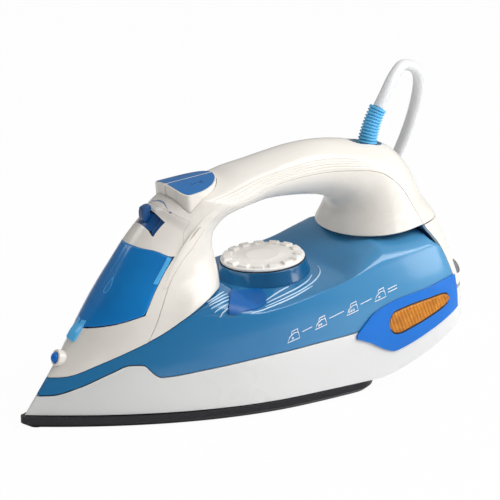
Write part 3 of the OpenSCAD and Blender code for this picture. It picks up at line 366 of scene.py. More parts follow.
class Finishes(Enum):
    """Every finish on the iron, by what it is made of; some also paint light or shade, as their
    comments say.
    """

    # Polypropylene, polished mould: clean warm white, a soft window of light in it
    WHITE_SHELL = Finish("white_polypropylene", "#f7f2ea", "#f3ede4", 0.24, coat=0.2)
    # The same, moulded a shade greyer for the skirt round the hot sole
    SKIRT = Finish("skirt_polypropylene", "#eeeeec", "#e9e9e8", 0.27, mottle_mm=90, coat=0.15)
    # Styrene-acrylonitrile, tinted blue in the melt, painted deep towards the toe and pale towards
    # the heel: painted shade and painted light
    TANK = Finish(
        "tank_san_painted_shade_and_light", "#2b8ac6", "#5fb2e6", 0.2, ior=1.57, mottle_mm=60, transmission=0.25,
        coat=0.25, painted_light_fade_m=(-0.01, 0.125),
    )
    # The same plastic with twice the dye, for the filler door
    DOOR = Finish(
        "door_tinted_san", "#0095e6", "#008bdc", 0.2, ior=1.5, transmission=0.3, coat=0.15,
    )
    # The door's plastic made lighter and slightly glowing for its edges, rim and lip: a painted
    # highlight that stands in for the light that runs in its wall and comes out at the edges
    DOOR_EDGE = Finish(
        "door_edge_painted_highlight", "#5cc4fb", "#52baf3", 0.18, ior=1.57, transmission=0.2, glow=0.1,
    )
    # The tank's plastic under the dial, painted lighter on its toe side and deeper behind: painted
    # highlight and painted shade
    TURRET = Finish(
        "turret_san_painted_highlight_and_shade", "#3fa3da", "#0b70a8", 0.14, ior=1.57, transmission=0.35, coat=0.4,
        painted_light_fade_m=(-0.011, 0.006),
    )
    # Polished ribs of the same plastic, painted pale and slightly glowing: a painted highlight where
    # they catch the light
    RIB = Finish("rib_san_painted_highlight", "#cbe6f8", "#bcdcf3", 0.15, ior=1.57, glow=0.05)
    # Dark blue ink of the signs on the buttons
    SIGN = Finish("blue_print_ink", "#1d5794", "#1a5088", 0.5)
    # Deep blue moulded ABS of the lever and the shutter beside it, satin
    NAVY = Finish("navy_abs", "#004f90", "#004884", 0.3, ior=1.5, coat=0.1)
    # ABS of the button tops, a greyer blue with a satin spark finish
    INLAY = Finish("button_blue_abs", "#2c74b8", "#286eb0", 0.42, ior=1.46)
    # Glossy ABS of the trims round the lamps and of the nozzle
    BRIGHT = Finish("bright_blue_abs", "#0077dc", "#0070d2", 0.3, ior=1.46)
    # Acrylic of the lamp covers: amber, clear enough to glow at its ribs
    AMBER = Finish(
        "amber_acrylic", "#e8920f", "#c87606", 0.16, ior=1.49, transmission=0.2, mottle_mm=5,
        glow=0.06,
    )
    # Dark gasket round each lamp cover; the same dark ring in the gap under the dial is painted shade
    GASKET = Finish("black_gasket_rubber_and_painted_shade", "#23262b", "#1b1d21", 0.6)
    # Thermoplastic elastomer of the cord's boot, satin and slightly soft to light
    BOOT = Finish("blue_elastomer", "#6fcbfb", "#66c2f3", 0.42, subsurface=0.12)
    # PVC jacket of the cord
    JACKET = Finish("white_pvc", "#f1f2f3", "#e8e9ea", 0.38, grain_mm=1.5)
    # Non-stick enamel round the rim of the soleplate
    ENAMEL = Finish("black_enamel", "#17181b", "#0e0f11", 0.24, ior=1.6, coat=0.4)
    # Ground and coated sole face, with the fine lines of its polishing running to the toe
    SOLE = Finish(
        "ground_sole_coating", "#4a4d52", "#3c3f44", 0.34, metallic=0.6, grain_mm=0.9,
        stretch=(0.06, 1.0, 1.0),
    )
    # Die-cast aluminium as it leaves the mould
    CAST = Finish("cast_aluminium", "#a9abae", "#989a9e", 0.45, metallic=1.0, grain_mm=1.4)
    # Bright-drawn steel of pins, springs and screws
    STEEL = Finish("drawn_steel", "#c9cacc", "#b9bbbf", 0.25, metallic=1.0)
    # Nickel-plated brass of the plug pins
    PLATED = Finish("plated_brass", "#d8d2c2", "#ccc4ae", 0.2, metallic=1.0)
    # Milky polyethylene of pumps, tubes and the tank's floor
    MILKY = Finish("milky_polyethylene", "#dfe6ee", "#d3dce6", 0.4, subsurface=0.15)
    # Moulded phenolic of the parts near the heat, dull and dark
    PHENOLIC = Finish("dark_phenolic", "#3b3e42", "#303236", 0.5)
    # Grey rubber of seals and feet, matt
    RUBBER = Finish("grey_rubber", "#54585e", "#4a4e54", 0.7, grain_mm=1.2)
    # White pad-printing ink, dull and thin
    INK = Finish("white_print_ink", "#f7fafc", "#eef3f7", 0.5)
    # Acrylonitrile-butadiene-styrene, satin, of the dial's pointer block
    POINTER = Finish("pointer_blue_abs", "#0063b0", "#005ca6", 0.4, ior=1.46)
    # Acrylonitrile-butadiene-styrene of the dial, painted whiter than the shells: painted light that
    # lifts the handle's shadow on its top
    DIAL_WHITE = Finish("dial_white_painted_light", "#fffbf5", "#fdf8f1", 0.3, ior=1.54)
    # Pale violet-grey ink of the steam scale
    SCALE = Finish("grey_print_ink", "#8f9cc4", "#8593bd", 0.5)
    # Polypropylene of the tongues that the shells' edges meet on, in a darker brown-grey: painted
    # shade that shows in the seams
    SEAM = Finish("seam_tongue_painted_shade", "#b5aca0", "#ada498", 0.6)

    def build(self) -> bpy.types.Material:
        """Makes this finish's material."""
        return self.value.build()


SLOT_FINISHES = {
    "black_enamel": Finishes.ENAMEL,
    "die_cast": Finishes.CAST,
    "heater_sheath": Finishes.STEEL,
    "sheet_metal": Finishes.STEEL,
    "thermostat": Finishes.PHENOLIC,
    "fuse_sleeve": Finishes.MILKY,
    "light_grey_plastic": Finishes.SKIRT,
    "grey_rubber": Finishes.RUBBER,
    "silicone": Finishes.MILKY,
    "silicone_tube": Finishes.MILKY,
    "stainless": Finishes.STEEL,
    "spring_steel": Finishes.STEEL,
    "zinc_steel": Finishes.STEEL,
    "white_plastic": Finishes.WHITE_SHELL,
    "pale_plastic": Finishes.MILKY,
    "dark_plastic": Finishes.PHENOLIC,
    "blue_translucent": Finishes.TANK,
    "lamp": Finishes.AMBER,
}


# ---- making pieces --------------------------------------------------------------------------


def patch(
    us: Sequence[float],
    vs: Sequence[float],
    place: Place,
    keep: Callable[[float, float], bool] | None = None,
) -> bmesh.types.BMesh:
    """Lays a grid over a surface.

    Args:
        us: Places of the grid's lines along the surface.
        vs: Places of the grid's lines across it.
        place: Gives the point of the surface at u and v, in metres.
        keep: Says whether the cell with this middle stays. Every cell stays without it.

    Returns:
        The mesh, with its doubles merged.
    """
    bm = bmesh.new()
    nu, nv = len(us) - 1, len(vs) - 1
    bmesh.ops.create_grid(bm, x_segments=nu, y_segments=nv, size=0.5)
    if keep is not None:
        gone = []
        for face in bm.faces:
            mid = face.calc_center_median()
            i = int((mid.x + 0.5) * nu)
            j = int((mid.y + 0.5) * nv)
            if not keep((us[i] + us[i + 1]) / 2, (vs[j] + vs[j + 1]) / 2):
                gone.append(face)
        bmesh.ops.delete(bm, geom=gone, context="FACES")
    for vert in bm.verts:
        i = round((vert.co.x + 0.5) * nu)
        j = round((vert.co.y + 0.5) * nv)
        vert.co = place(us[i], vs[j])
    bmesh.ops.remove_doubles(bm, verts=bm.verts, dist=0.02 * MM)
    return bm


def face_out(bm: bmesh.types.BMesh, middle: Vector) -> None:
    """Turns an open sheet's faces away from middle."""
    bmesh.ops.recalc_face_normals(bm, faces=bm.faces)
    lean = sum(
        face.normal.dot(face.calc_center_median() - middle) * face.calc_area()
        for face in bm.faces
    )
    if lean < 0:
        bmesh.ops.reverse_faces(bm, faces=bm.faces)


def shut(bm: bmesh.types.BMesh) -> None:
    """Closes every open rim and turns the faces outwards."""
    bmesh.ops.holes_fill(bm, edges=[e for e in bm.edges if e.is_boundary], sides=0)
    bmesh.ops.recalc_face_normals(bm, faces=bm.faces)


def turned(
    profile: Sequence[tuple[float, float]], count: int, closed: bool = True
) -> bmesh.types.BMesh:
    """Turns a profile on a lathe about the z axis.

    Args:
        profile: Radius and height of each corner, in millimetres.
        count: How many steps go round.
        closed: Whether the last corner joins the first.

    Returns:
        The turned mesh, facing outwards.
    """
    bm = bmesh.new()
    verts = [bm.verts.new((r * MM, 0.0, z * MM)) for r, z in profile]
    pairs = list(zip(verts, verts[1:]))
    if closed:
        pairs.append((verts[-1], verts[0]))
    edges = [bm.edges.new(pair) for pair in pairs]
    bmesh.ops.spin(
        bm, geom=verts + edges, cent=(0, 0, 0), axis=(0, 0, 1), angle=math.tau, steps=count,
        use_merge=True,
    )
    bmesh.ops.remove_doubles(bm, verts=bm.verts, dist=0.01 * MM)
    bmesh.ops.recalc_face_normals(bm, faces=bm.faces)
    return bm


def prism(outline: Sequence[tuple[float, float]], low: float, high: float) -> bmesh.types.BMesh:
    """Raises a flat outline into a solid along z.

    Args:
        outline: Corners in millimetres.
        low: Height of the lower face.
        high: Height of the upper face.

    Returns:
        The solid, facing outwards.
    """
    bm = bmesh.new()
    bmesh.ops.create_circle(bm, cap_ends=True, segments=len(outline), radius=MM)
    for vert, (x, y) in zip(list(bm.verts), outline):
        vert.co = (x * MM, y * MM, low * MM)
    top = bmesh.ops.extrude_face_region(bm, geom=bm.faces[:])
    risen = [v for v in top["geom"] if isinstance(v, bmesh.types.BMVert)]
    bmesh.ops.translate(bm, verts=risen, vec=(0, 0, (high - low) * MM))
    bmesh.ops.recalc_face_normals(bm, faces=bm.faces)
    return bm


def swept(
    way: Sequence[Vector], radius: Callable[[float], float], sides: int
) -> bmesh.types.BMesh:
    """Sweeps a round section along a way.

    Args:
        way: Points of the middle line, in metres.
        radius: Gives the radius in millimetres at a share of the way.
        sides: How many steps go round.

    Returns:
        The closed tube, facing outwards.
    """
    last = len(way) - 1
    ahead = [(way[min(i + 1, last)] - way[max(i - 1, 0)]).normalized() for i in range(last + 1)]
    ups: list[Vector] = []
    up = Vector((0.0, 1.0, 0.0))
    for heading in ahead:
        up = (up - heading * up.dot(heading)).normalized()
        ups.append(up.copy())

    def ring(u: float, v: float) -> Vector:
        """Gives the tube's point at step u and angle v."""
        i = int(u)
        side = ahead[i].cross(ups[i])
        r = radius(i / last) * MM
        return way[i] + r * (ups[i] * math.cos(v) + side * math.sin(v))

    bm = patch(numbers(last), steps(0.0, math.tau, sides), ring)
    shut(bm)
    return bm


def soften(bm: bmesh.types.BMesh, width: float, angle: float = 35.0, segments: int = 3) -> None:
    """Rounds every edge that is sharper than angle.

    Args:
        bm: The mesh.
        width: Width of the rounding in millimetres.
        angle: The least angle between two faces, in degrees.
        segments: How many strips the rounding has.
    """
    limit = math.radians(angle)
    sharp = [e for e in bm.edges if len(e.link_faces) == 2 and e.calc_face_angle(0) > limit]
    bmesh.ops.bevel(
        bm, geom=sharp, offset=width * MM, affect="EDGES", segments=segments, profile=0.5,
        material=-1, clamp_overlap=True,
    )


def draw_back(bm: bmesh.types.BMesh, gap: float) -> None:
    """Pulls an open sheet's rim back by gap millimetres, to leave half a seam.

    Args:
        bm: The open sheet.
        gap: How far the rim moves inwards along the sheet.
    """
    moves = []
    for vert in bm.verts:
        if not vert.is_boundary:
            continue
        inner = [e.other_vert(vert) for e in vert.link_edges if not e.is_boundary]
        if not inner:
            inner = [e.other_vert(vert) for e in vert.link_edges]
        pull = sum((other.co - vert.co for other in inner), Vector()) / len(inner)
        if pull.length > 0:
            moves.append((vert, pull.normalized() * min(gap * MM, pull.length * 0.8)))
    for vert, pull in moves:
        vert.co += pull


def joined(parts: Sequence[bmesh.types.BMesh]) -> bmesh.types.BMesh:
    """Puts several meshes into one.

    Args:
        parts: The meshes, which are freed.

    Returns:
        The one mesh.
    """
    whole = bmesh.new()
    for part in parts:
        mesh = bpy.data.meshes.new("part")
        part.to_mesh(mesh)
        part.free()
        whole.from_mesh(mesh)
        bpy.data.meshes.remove(mesh)
    return whole


def placed(name: str, data: bpy.types.ID) -> bpy.types.Object:
    """Makes an object and puts it in the scene."""
    obj = bpy.data.objects.new(name, data)
    bpy.context.scene.collection.objects.link(obj)
    return obj


def axes(x: float, z: float, turn: float, along: float = 0.0) -> Matrix:
    """Stands a part's own axes in the middle plane.

    Args:
        x: Distance from the toe, in millimetres.
        z: Height, in millimetres.
        turn: Turn about the y axis, in degrees.
        along: Shift along the turned x axis, in millimetres.

    Returns:
        The matrix from the part's axes to the frame.
    """
    spin = Matrix.Rotation(math.radians(turn), 4, "Y")
    return Matrix.Translation(at(x, 0, z)) @ spin @ Matrix.Translation((along * MM, 0, 0))


def ribbon(points: Sequence[tuple[float, float]], width: float, lay: Place) -> bmesh.types.BMesh:
    """Draws a flat stroke on a surface.

    Args:
        points: Middle line of the stroke, in the surface's two coordinates in millimetres.
        width: Width of the stroke in millimetres.
        lay: Gives the frame's point at two coordinates.

    Returns:
        The stroke as a thin sheet.
    """
    last = len(points) - 1
    shut = points[0] == points[-1]

    def place(u: float, v: float) -> Vector:
        """Gives the point at step u, v widths beside the middle line."""
        i = int(u)
        before = points[i - 1] if i else (points[last - 1] if shut else points[0])
        after = points[i + 1] if i < last else (points[1] if shut else points[last])
        dx, dy = after[0] - before[0], after[1] - before[1]
        size = math.hypot(dx, dy) or 1.0
        x, y = points[i]
        return lay(x - dy / size * v * width, y + dx / size * v * width)

    return patch(numbers(last), [-0.5, 0.5], place)


@dataclass
class Dressing:
    """Turns meshes into finished pieces on the frame."""

    frame: dict
    made: list[str] = field(default_factory=list)

    def piece(
        self,
        name: str,
        bm: bmesh.types.BMesh,
        finish: Finishes,
        body: str = "iron",
        nodes: Sequence[str] = (),
        slot: str | None = None,
        wall: float = 0.0,
        edge: float = 0.0,
        pose: Matrix | None = None,
        crease: float = 40.0,
        middle: Vector | None = None,
    ) -> bpy.types.Object:
        """Makes one piece and sets it on its body.

        Args:
            name: Name of the piece.
            bm: Its mesh, which is freed.
            finish: What it is made of.
            body: The body it moves with.
            nodes: CAD nodes that it stands for.
            slot: The record's material slot; not used.
            wall: Thickness in millimetres given inwards to an open sheet.
            edge: Rounding in millimetres of its sharp edges.
            pose: Turns the mesh from its own axes into the frame.
            crease: Edges sharper than this many degrees are rounded.
            middle: Point that an open sheet faces away from, in the mesh's own axes.

        Returns:
            The object.
        """
        if middle is not None:
            face_out(bm, middle)
        if pose is not None:
            bmesh.ops.transform(bm, matrix=pose, verts=bm.verts)
        mesh = bpy.data.meshes.new(name)
        bm.to_mesh(mesh)
        bm.free()
        mesh.shade_smooth()
        mesh.materials.append(finish.build())
        obj = placed(name, mesh)
        if wall:
            solid = obj.modifiers.new("wall", "SOLIDIFY")
            solid.thickness = wall * MM
            solid.offset = -1.0
            solid.use_even_offset = False
        if edge:
            bevel = obj.modifiers.new("edges", "BEVEL")
            bevel.width = edge * MM
            bevel.segments = 2
            bevel.limit_method = "ANGLE"
            bevel.angle_limit = math.radians(crease)
            bevel.harden_normals = False
        keep = obj.modifiers.new("normals", "WEIGHTED_NORMAL")
        keep.keep_sharp = True
        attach(obj, body)
        if nodes:
            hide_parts(*nodes)
        self.made.append(name)
        LOG.info("piece %s on %s: %d faces", name, body, len(mesh.polygons))
        return obj

    def cut(self, obj: bpy.types.Object, tool: bmesh.types.BMesh) -> None:
        """Cuts a tool's shape out of a piece, before its edges are rounded.

        Args:
            obj: The piece.
            tool: The closed shape to take away, which is freed.
        """
        mesh = bpy.data.meshes.new("tool")
        tool.to_mesh(mesh)
        tool.free()
        cutter = placed("tool", mesh)
        saved = [(m.name, m.type) for m in obj.modifiers]
        boolean = obj.modifiers.new("cut", "BOOLEAN")
        boolean.operation = "DIFFERENCE"
        boolean.solver = "EXACT"
        boolean.object = cutter
        place = 1 if saved and saved[0][1] == "SOLIDIFY" else 0
        obj.modifiers.move(len(obj.modifiers) - 1, place)
        names = [m.name for m in obj.modifiers[: place + 1]]
        bpy.context.view_layer.objects.active = obj
        with bpy.context.temp_override(object=obj, active_object=obj):
            for name in names:
                bpy.ops.object.modifier_apply(modifier=name)
        bpy.data.objects.remove(cutter)
        bpy.data.meshes.remove(mesh)

    def paint_rest(self) -> None:
        """Gives every CAD node that stays in view the finish of its material slot."""
        slots = {part["node"]: part["material_slot"] for part in self.frame["record"]["subparts"]}
        for node, obj in self.frame["nodes"].items():
            finish = SLOT_FINISHES.get(slots[node], Finishes.MILKY)
            if obj.hide_render:
                continue
            obj.data.materials.clear()
            obj.data.materials.append(finish.build())
            LOG.info("painted %s as %s", node, finish.value.name)


# ---- the body's surface ---------------------------------------------------------------------


@dataclass
class BodyForm:
    """The iron's lower body: one surface that skirt, tank, rear cover and trims share."""

    nose_lean: float = 36.0
    heel_lean: float = 18.0
    heel_z: float = 51.0
    sole_l: float = 218.0
    sole_h: float = 7.2
    widest_x: float = 157.0
    nose_x0: float = 2.0
    dial_x: float = 163.4
    dial_top: float = 80.7
    dial_lean: float = 4.0
    turret_h: float = 11.1
    prow_r: float = 0.8
    prow_fade: float = 7.0
    bow: float = 1.9
    crease_x: float = 93.0
    panel_end: float = 127.0
    waist: Curve = Curve((0, 55.6), (30, 55.6), (45, 54.2), (60, 51.8), (72, 48.6), (96, 39.1))
    blunt: Curve = Curve((7, 1), (20, 0.88), (45, 0.78), (70, 0.72), (100, 0.66))
    skirt_line: Curve = Curve(
        (10, 18), (17, 18.6), (31, 23.6), (47, 31.7), (58, 36.3), (64, 36.3), (68.4, 31.7),
        (72.4, 28.9), (98, 31.9), (132, 35.8), (164, 37.9), (193, 39.4), (272, 51), (291, 52),
    )
    panel_line: Curve = Curve(
        (17, 28), (25, 29), (42, 36.4), (57, 43.6), (75, 52.8), (93, 64), (104, 69), (116, 72),
        (127, 72),
    )
    crease: Curve = Curve(
        (93, 63.4), (104, 62.5), (116, 61), (127, 60.5), (142, 62), (180, 68.5), (216, 76),
        (255, 80),
    )
    rear_edge: Curve = Curve((257, 92.5), (266.8, 79.9), (271.4, 69.7), (274.8, 60.2), (276.5, 53))
    tank_rear: Curve = Curve((53, 276.5), (60.2, 274.8), (69.7, 271.4), (79.9, 266.8), (92.5, 257))
    crown_reach: Curve = Curve((80, 0.4), (93, 0.9), (104, 0.87), (118, 0.55), (127, 0.05))

    def nose_x(self, z: float) -> float:
        """Where the nose line is at height z."""
        return self.nose_x0 + (z - self.sole_h) * math.tan(math.radians(self.nose_lean))

    def nose_z(self, x: float) -> float:
        """Height just under the nose line at x."""
        return self.sole_h + (x - self.nose_x0) / math.tan(math.radians(self.nose_lean)) - 0.4

    def heel_x(self, z: float) -> float:
        """Where the heel is at height z."""
        return BODY_L - max(0.0, z - self.heel_z) * math.tan(math.radians(self.heel_lean))

    def half_w(self, x: float, z: float, d: float = 0.0) -> float:
        """Half width of the body at a place, d inside its surface, with a rounded prow."""
        a, b = self.nose_x(z) + 1.3 * d, self.heel_x(z) - d
        c = clamp(x, a, b)
        wide = self.waist(z) - d
        if c >= self.widest_x:
            r = (c - self.widest_x) / (b - self.widest_x)
            return wide * (1 - 0.05 * r * r) * max(0.0, 1 - r**8) ** 0.25

        def side(e: float) -> float:
            """Half width at a distance from the nose line."""
            run = self.widest_x - a
            return wide * max(0.0, 1 - ((run - e) / run) ** self.bow) ** self.blunt(z)

        fade = math.exp(-(c - a) / self.prow_fade)
        full = side(min(c - a + self.prow_r * fade, self.widest_x - a))
        return math.sqrt(max(0.0, full**2 - (side(self.prow_r) * fade) ** 2))

    def underside(self, x: float) -> float:
        """Height of the skirt's lower edge, rising under the heel."""
        rise = max(0.0, x - self.sole_l) / (BODY_L - self.sole_l)
        return self.sole_h + 0.3 + 31 * rise**1.35

    def turret_z(self, x: float) -> float:
        """Height of the level ground round the dial."""
        lean = math.tan(math.radians(self.dial_lean))
        return self.dial_top - self.turret_h - 0.5 + (x - self.dial_x) * lean

    def crown_z(self, x: float) -> float:
        """Height of the crown in the middle plane, behind the nose panel."""
        line = Curve(
            (127, 71.8), (134, self.turret_z(134)), (194, self.turret_z(194)), (203, 77.5),
            (210, 83), (222, 90),
        )
        return line(x)

    def crown_top(self, x: float) -> float:
        """Height of the tank's upper limit at x."""
        if x < self.panel_end:
            return self.panel_line(x) - Curve((20, 0.2), (85, 0.2), (93, 0.6))(x)
        return min(self.crown_z(x), self.rear_edge(x))

    def flank_top(self, x: float) -> float:
        """Height of the upper edge of the tank's side."""
        nose = self.nose_z(x)
        low = self.crown_top(x) if x < self.crease_x else self.crease(x)
        return min(low, nose, self.rear_edge(x))

    def crown_pt(self, x: float, w: float, lift: float = 0.0) -> Vector:
        """A point of the crown, in millimetres.

        Args:
            x: Distance from the toe.
            w: 0 on the flank's upper edge, 1 in the middle.
            lift: How far the point stands out of the surface.

        Returns:
            The point on the near side.
        """
        z0 = self.flank_top(x)
        nose = self.nose_z(x)
        z1 = max(z0, min(self.crown_top(x), nose))
        ahead = x < self.panel_end
        a = math.radians(90 * (min(1.0, w / 0.6) if ahead else w))
        reach = self.crown_reach(x) if ahead else 0.0
        share = (
            mix(reach, 1.0, max(0.0, math.cos(a)) ** 0.8)
            if a < math.pi / 2 - 1e-6
            else reach * (1 - w) / 0.4
        )
        y = max(0.3, self.half_w(x, z0)) * share
        return Vector((x, -y - lift * math.cos(a), mix(z0, z1, math.sin(a)) + lift * math.sin(a)))

    def on_flank(self, x: float, z: float, side: int, out: float = 0.0) -> Vector:
        """A point of the frame on the body's side, out millimetres proud of it."""
        return at(x, side * self.half_w(x, z, -out), z)


@dataclass
class HandleForm:
    """The handle's one surface, from the nose over the grip to the heel."""

    body: BodyForm
    nose_rows: tuple[tuple[float, ...], ...] = (
        (28.4, 127, 72.4, 37), (41, 127, 78.5, 33.5), (53.3, 126.5, 84.5, 30),
        (69.3, 125.5, 90.5, 27), (85, 124.5, 96, 25), (100, 124.5, 100.5, 24),
    )
    grip_rows: tuple[tuple[float, ...], ...] = (
        (77.5, 109.5, 125.5, 104.5, 23.4), (85.3, 117.2, 129.5, 109, 23.2),
        (90, 121.6, 134, 111.8, 23.5), (96, 125.4, 140, 113.6, 23.5),
        (104, 129.2, 146, 114.8, 23.5), (117, 131.6, 151, 115.4, 22.3),
        (129, 134.6, 156, 115.8, 21), (140, 138, 161, 116, 20), (155, 141, 168, 115.9, 19.3),
        (170, 143.8, 176, 115.5, 19), (185, 146, 183, 115, 19), (200, 146.6, 190, 114.3, 19),
        (214, 145.5, 197, 113.3, 19.4), (228, 143.3, 202, 112.2, 20.2),
        (240, 141, 207, 110.6, 21.4), (250, 138, 211, 108.2, 23), (258, 132, 213.5, 105, 25.5),
        (265, 122.5, 214, 101.3, 29), (270.8, 109.5, 212, 95.5, 33.5),
    )
    panel_seam: tuple[float, ...] = (0.44, 0.43, 0.42, 0.42, 0.42, 0.43, 0.38, 0.27, 0.25)
    handle_seam: tuple[float, ...] = (
        0.46, 0.46, 0.46, 0.46, 0.5, 0.59, 0.62, 0.645, 0.62, 0.6, 0.6, 0.6, 0.6, 0.57, 0.52,
        0.5, 0.5, 0.49, 0.47, 0.45, 0.42, 0.4, 0.38, 0.35, 0.32, 0.29,
    )
    foot: tuple[float, float] = (209.5, 88.4)

    def __post_init__(self) -> None:
        """Threads smooth lines through the rows."""
        body = self.body
        rows = [(body.nose_x(r[0]), *r) for r in self.nose_rows]
        rows += [tuple(r) for r in self.grip_rows]
        rows.append((body.heel_x(96), 96, self.foot[0], self.foot[1], 38))
        self.rows = rows
        self.last = len(rows) - 1
        self.qn = Curve(*enumerate(self.panel_seam))
        self.qh = Curve(*enumerate(self.handle_seam))
        self.fold = Curve((0, 0.62), (4, 0.5), (7, 0.5), (8, 0.4), (12, 0.4), (14, 0.5))
        self.under = Curve((7, 2.5), (13, 2))
        self.to_body = Curve((0, 1), (1, 0.7), (2, 0.4), (3, 0.12), (4, 0), (24, 0), (25, 1))
        self.sag_s = Curve((3, 0), (4, 2.5), (5, 5), (6, 7), (7, 7), (8, 5), (9, 2), (10, 0))
        self.sag_q = Curve(
            (0, 0), (0.04, 0.16), (0.09, 0.34), (0.18, 0.66), (0.32, 0.95), (0.36, 0.9),
            (0.43, 0.35), (0.5, 0),
        )
        self.drop = Curve((0, 1), (1, 0.6), (2, 0.3), (3, 0.1), (4, 0))

    def row(self, s: float) -> tuple[float, ...]:
        """Reads the section's five numbers at a place along the handle."""
        i = int(clamp(math.floor(s), 0, self.last - 1))
        t = clamp(s - i, 0.0, 1.0)
        r = [self.rows[int(clamp(i + k, 0, self.last))] for k in (-1, 0, 1, 2)]
        out = []
        for a, b, c, d in zip(*r):
            m0, m1 = (c - a) / 2, (d - b) / 2
            if i in (0, self.last - 1):
                m0 = c - b if i == 0 else m0
                m1 = c - b if i == self.last - 1 else m1
            out.append(hermite(t, b, c, m0, m1))
        return tuple(out)

    def share(self, s: float, c: float) -> float:
        """Turns a column number into the share of the way from outer to inner line.

        Columns: 0 is the outer line, 2 the lever window's side, 3 the door's side, 4 the nose
        panel's seam, 7 the handle's seam and 11 the inner line.
        """
        qn, qh = self.qn(s), self.qh(s)
        mid = Curve((5, 0.42), (6, 0.22), (7, 0.32), (8, 0.42))(s)
        if c <= 1:
            return qn * 0.1 * c * c
        if c <= 4:
            stops = ((1, 0.1), (2, mid), (3, 0.85), (4, 1.0))
            for (c0, f0), (c1, f1) in zip(stops, stops[1:]):
                if c <= c1:
                    return qn * mix(f0, f1, c - c0)
        if c <= 7:
            return mix(qn, qh, (c - 4) / 3)
        return 1 - (1 - qh) * ((11 - c) / 4) ** 1.7

    def point(self, s: float, c: float, side: int, d: float = 0.0) -> Vector:
        """A point of the handle's surface, in millimetres.

        Args:
            s: Place along the handle, in rows.
            c: Column.
            side: NEAR or FAR.
            d: How far inside the surface.

        Returns:
            The point.
        """
        ox, oz, ix, iz, hw = self.row(s)
        q = self.share(s, c)
        span = math.hypot(ix - ox, iz - oz)
        nose = mix(1.5, 1.0, clamp((s - 7) / 3, 0, 1))
        t = mix(d * nose / span, 1 - d / span, q)
        x, z = mix(ox, ix, t), mix(oz, iz, t)
        level = mix(28.4, 72.4, (x - 17) / 110)
        z += self.drop(s) * (self.body.panel_line(x) + 0.4 - level)
        z -= self.sag_s(s) * self.sag_q(q)
        w = hw - d
        if q < 0.5:
            own = w * max(0.0, 1 - (1 - 2 * q) ** 2) ** self.fold(s)
        else:
            own = w * max(0.0, 1 - (2 * q - 1) ** self.under(s)) ** 0.5
        share = self.to_body(s)
        if share > 0:
            if s < self.last / 2:
                curl = max(0.0, 1 - max(0.0, (q - 0.66) / 0.34) ** 1.5) ** 0.5
            else:
                curl = max(0.0, 1 - max(0.0, (q - 0.45) / 0.55) ** 2) ** 0.5
            own = mix(own, self.body.half_w(x, z, d) * curl, share)
        return Vector((x, side * own, z))

    def bend(self, s: float, v: float) -> tuple[float, float]:
        """Bends rows and columns so that the openings get the outlines of door and lever.

        Args:
            s: Row on the straight grid.
            v: Signed column on the straight grid.

        Returns:
            The row and signed column on the surface.
        """
        c = abs(v)
        crest = Curve((0, 0.12), (1, 0.15), (2.1, 0.27), (2.8, 0.08), (3.4, 0))
        top = max(0.0, 1 - abs(s - 5)) * crest(c)
        low = max(0.0, 1 - abs(s - 2)) * Curve((0, 0.2), (1, 0.17), (2, 0.08), (3, 0))(c)
        arch = max(0.0, 1 - abs(s - 6)) * Curve((0, 0.26), (0.7, 0.2), (1.9, -0.02), (2.6, 0))(c)
        brow = max(0.0, 1 - abs(s - 7)) * Curve((0, 0.3), (0.8, 0.2), (1.8, 0.02), (2.6, 0))(c)
        return s + top + low + arch + brow, v

    def place(self, s: float, v: float, d: float = 0.0) -> Vector:
        """Gives the frame's point at row s and signed column v."""
        p = self.point(s, abs(v), FAR if v > 0 else NEAR, d)
        if abs(v) < 1e-9 or abs(v) > 11 - 1e-9:
            p.y = 0.0
        return at(p.x, p.y, p.z)


# ---- sub-assemblies -------------------------------------------------------------------------


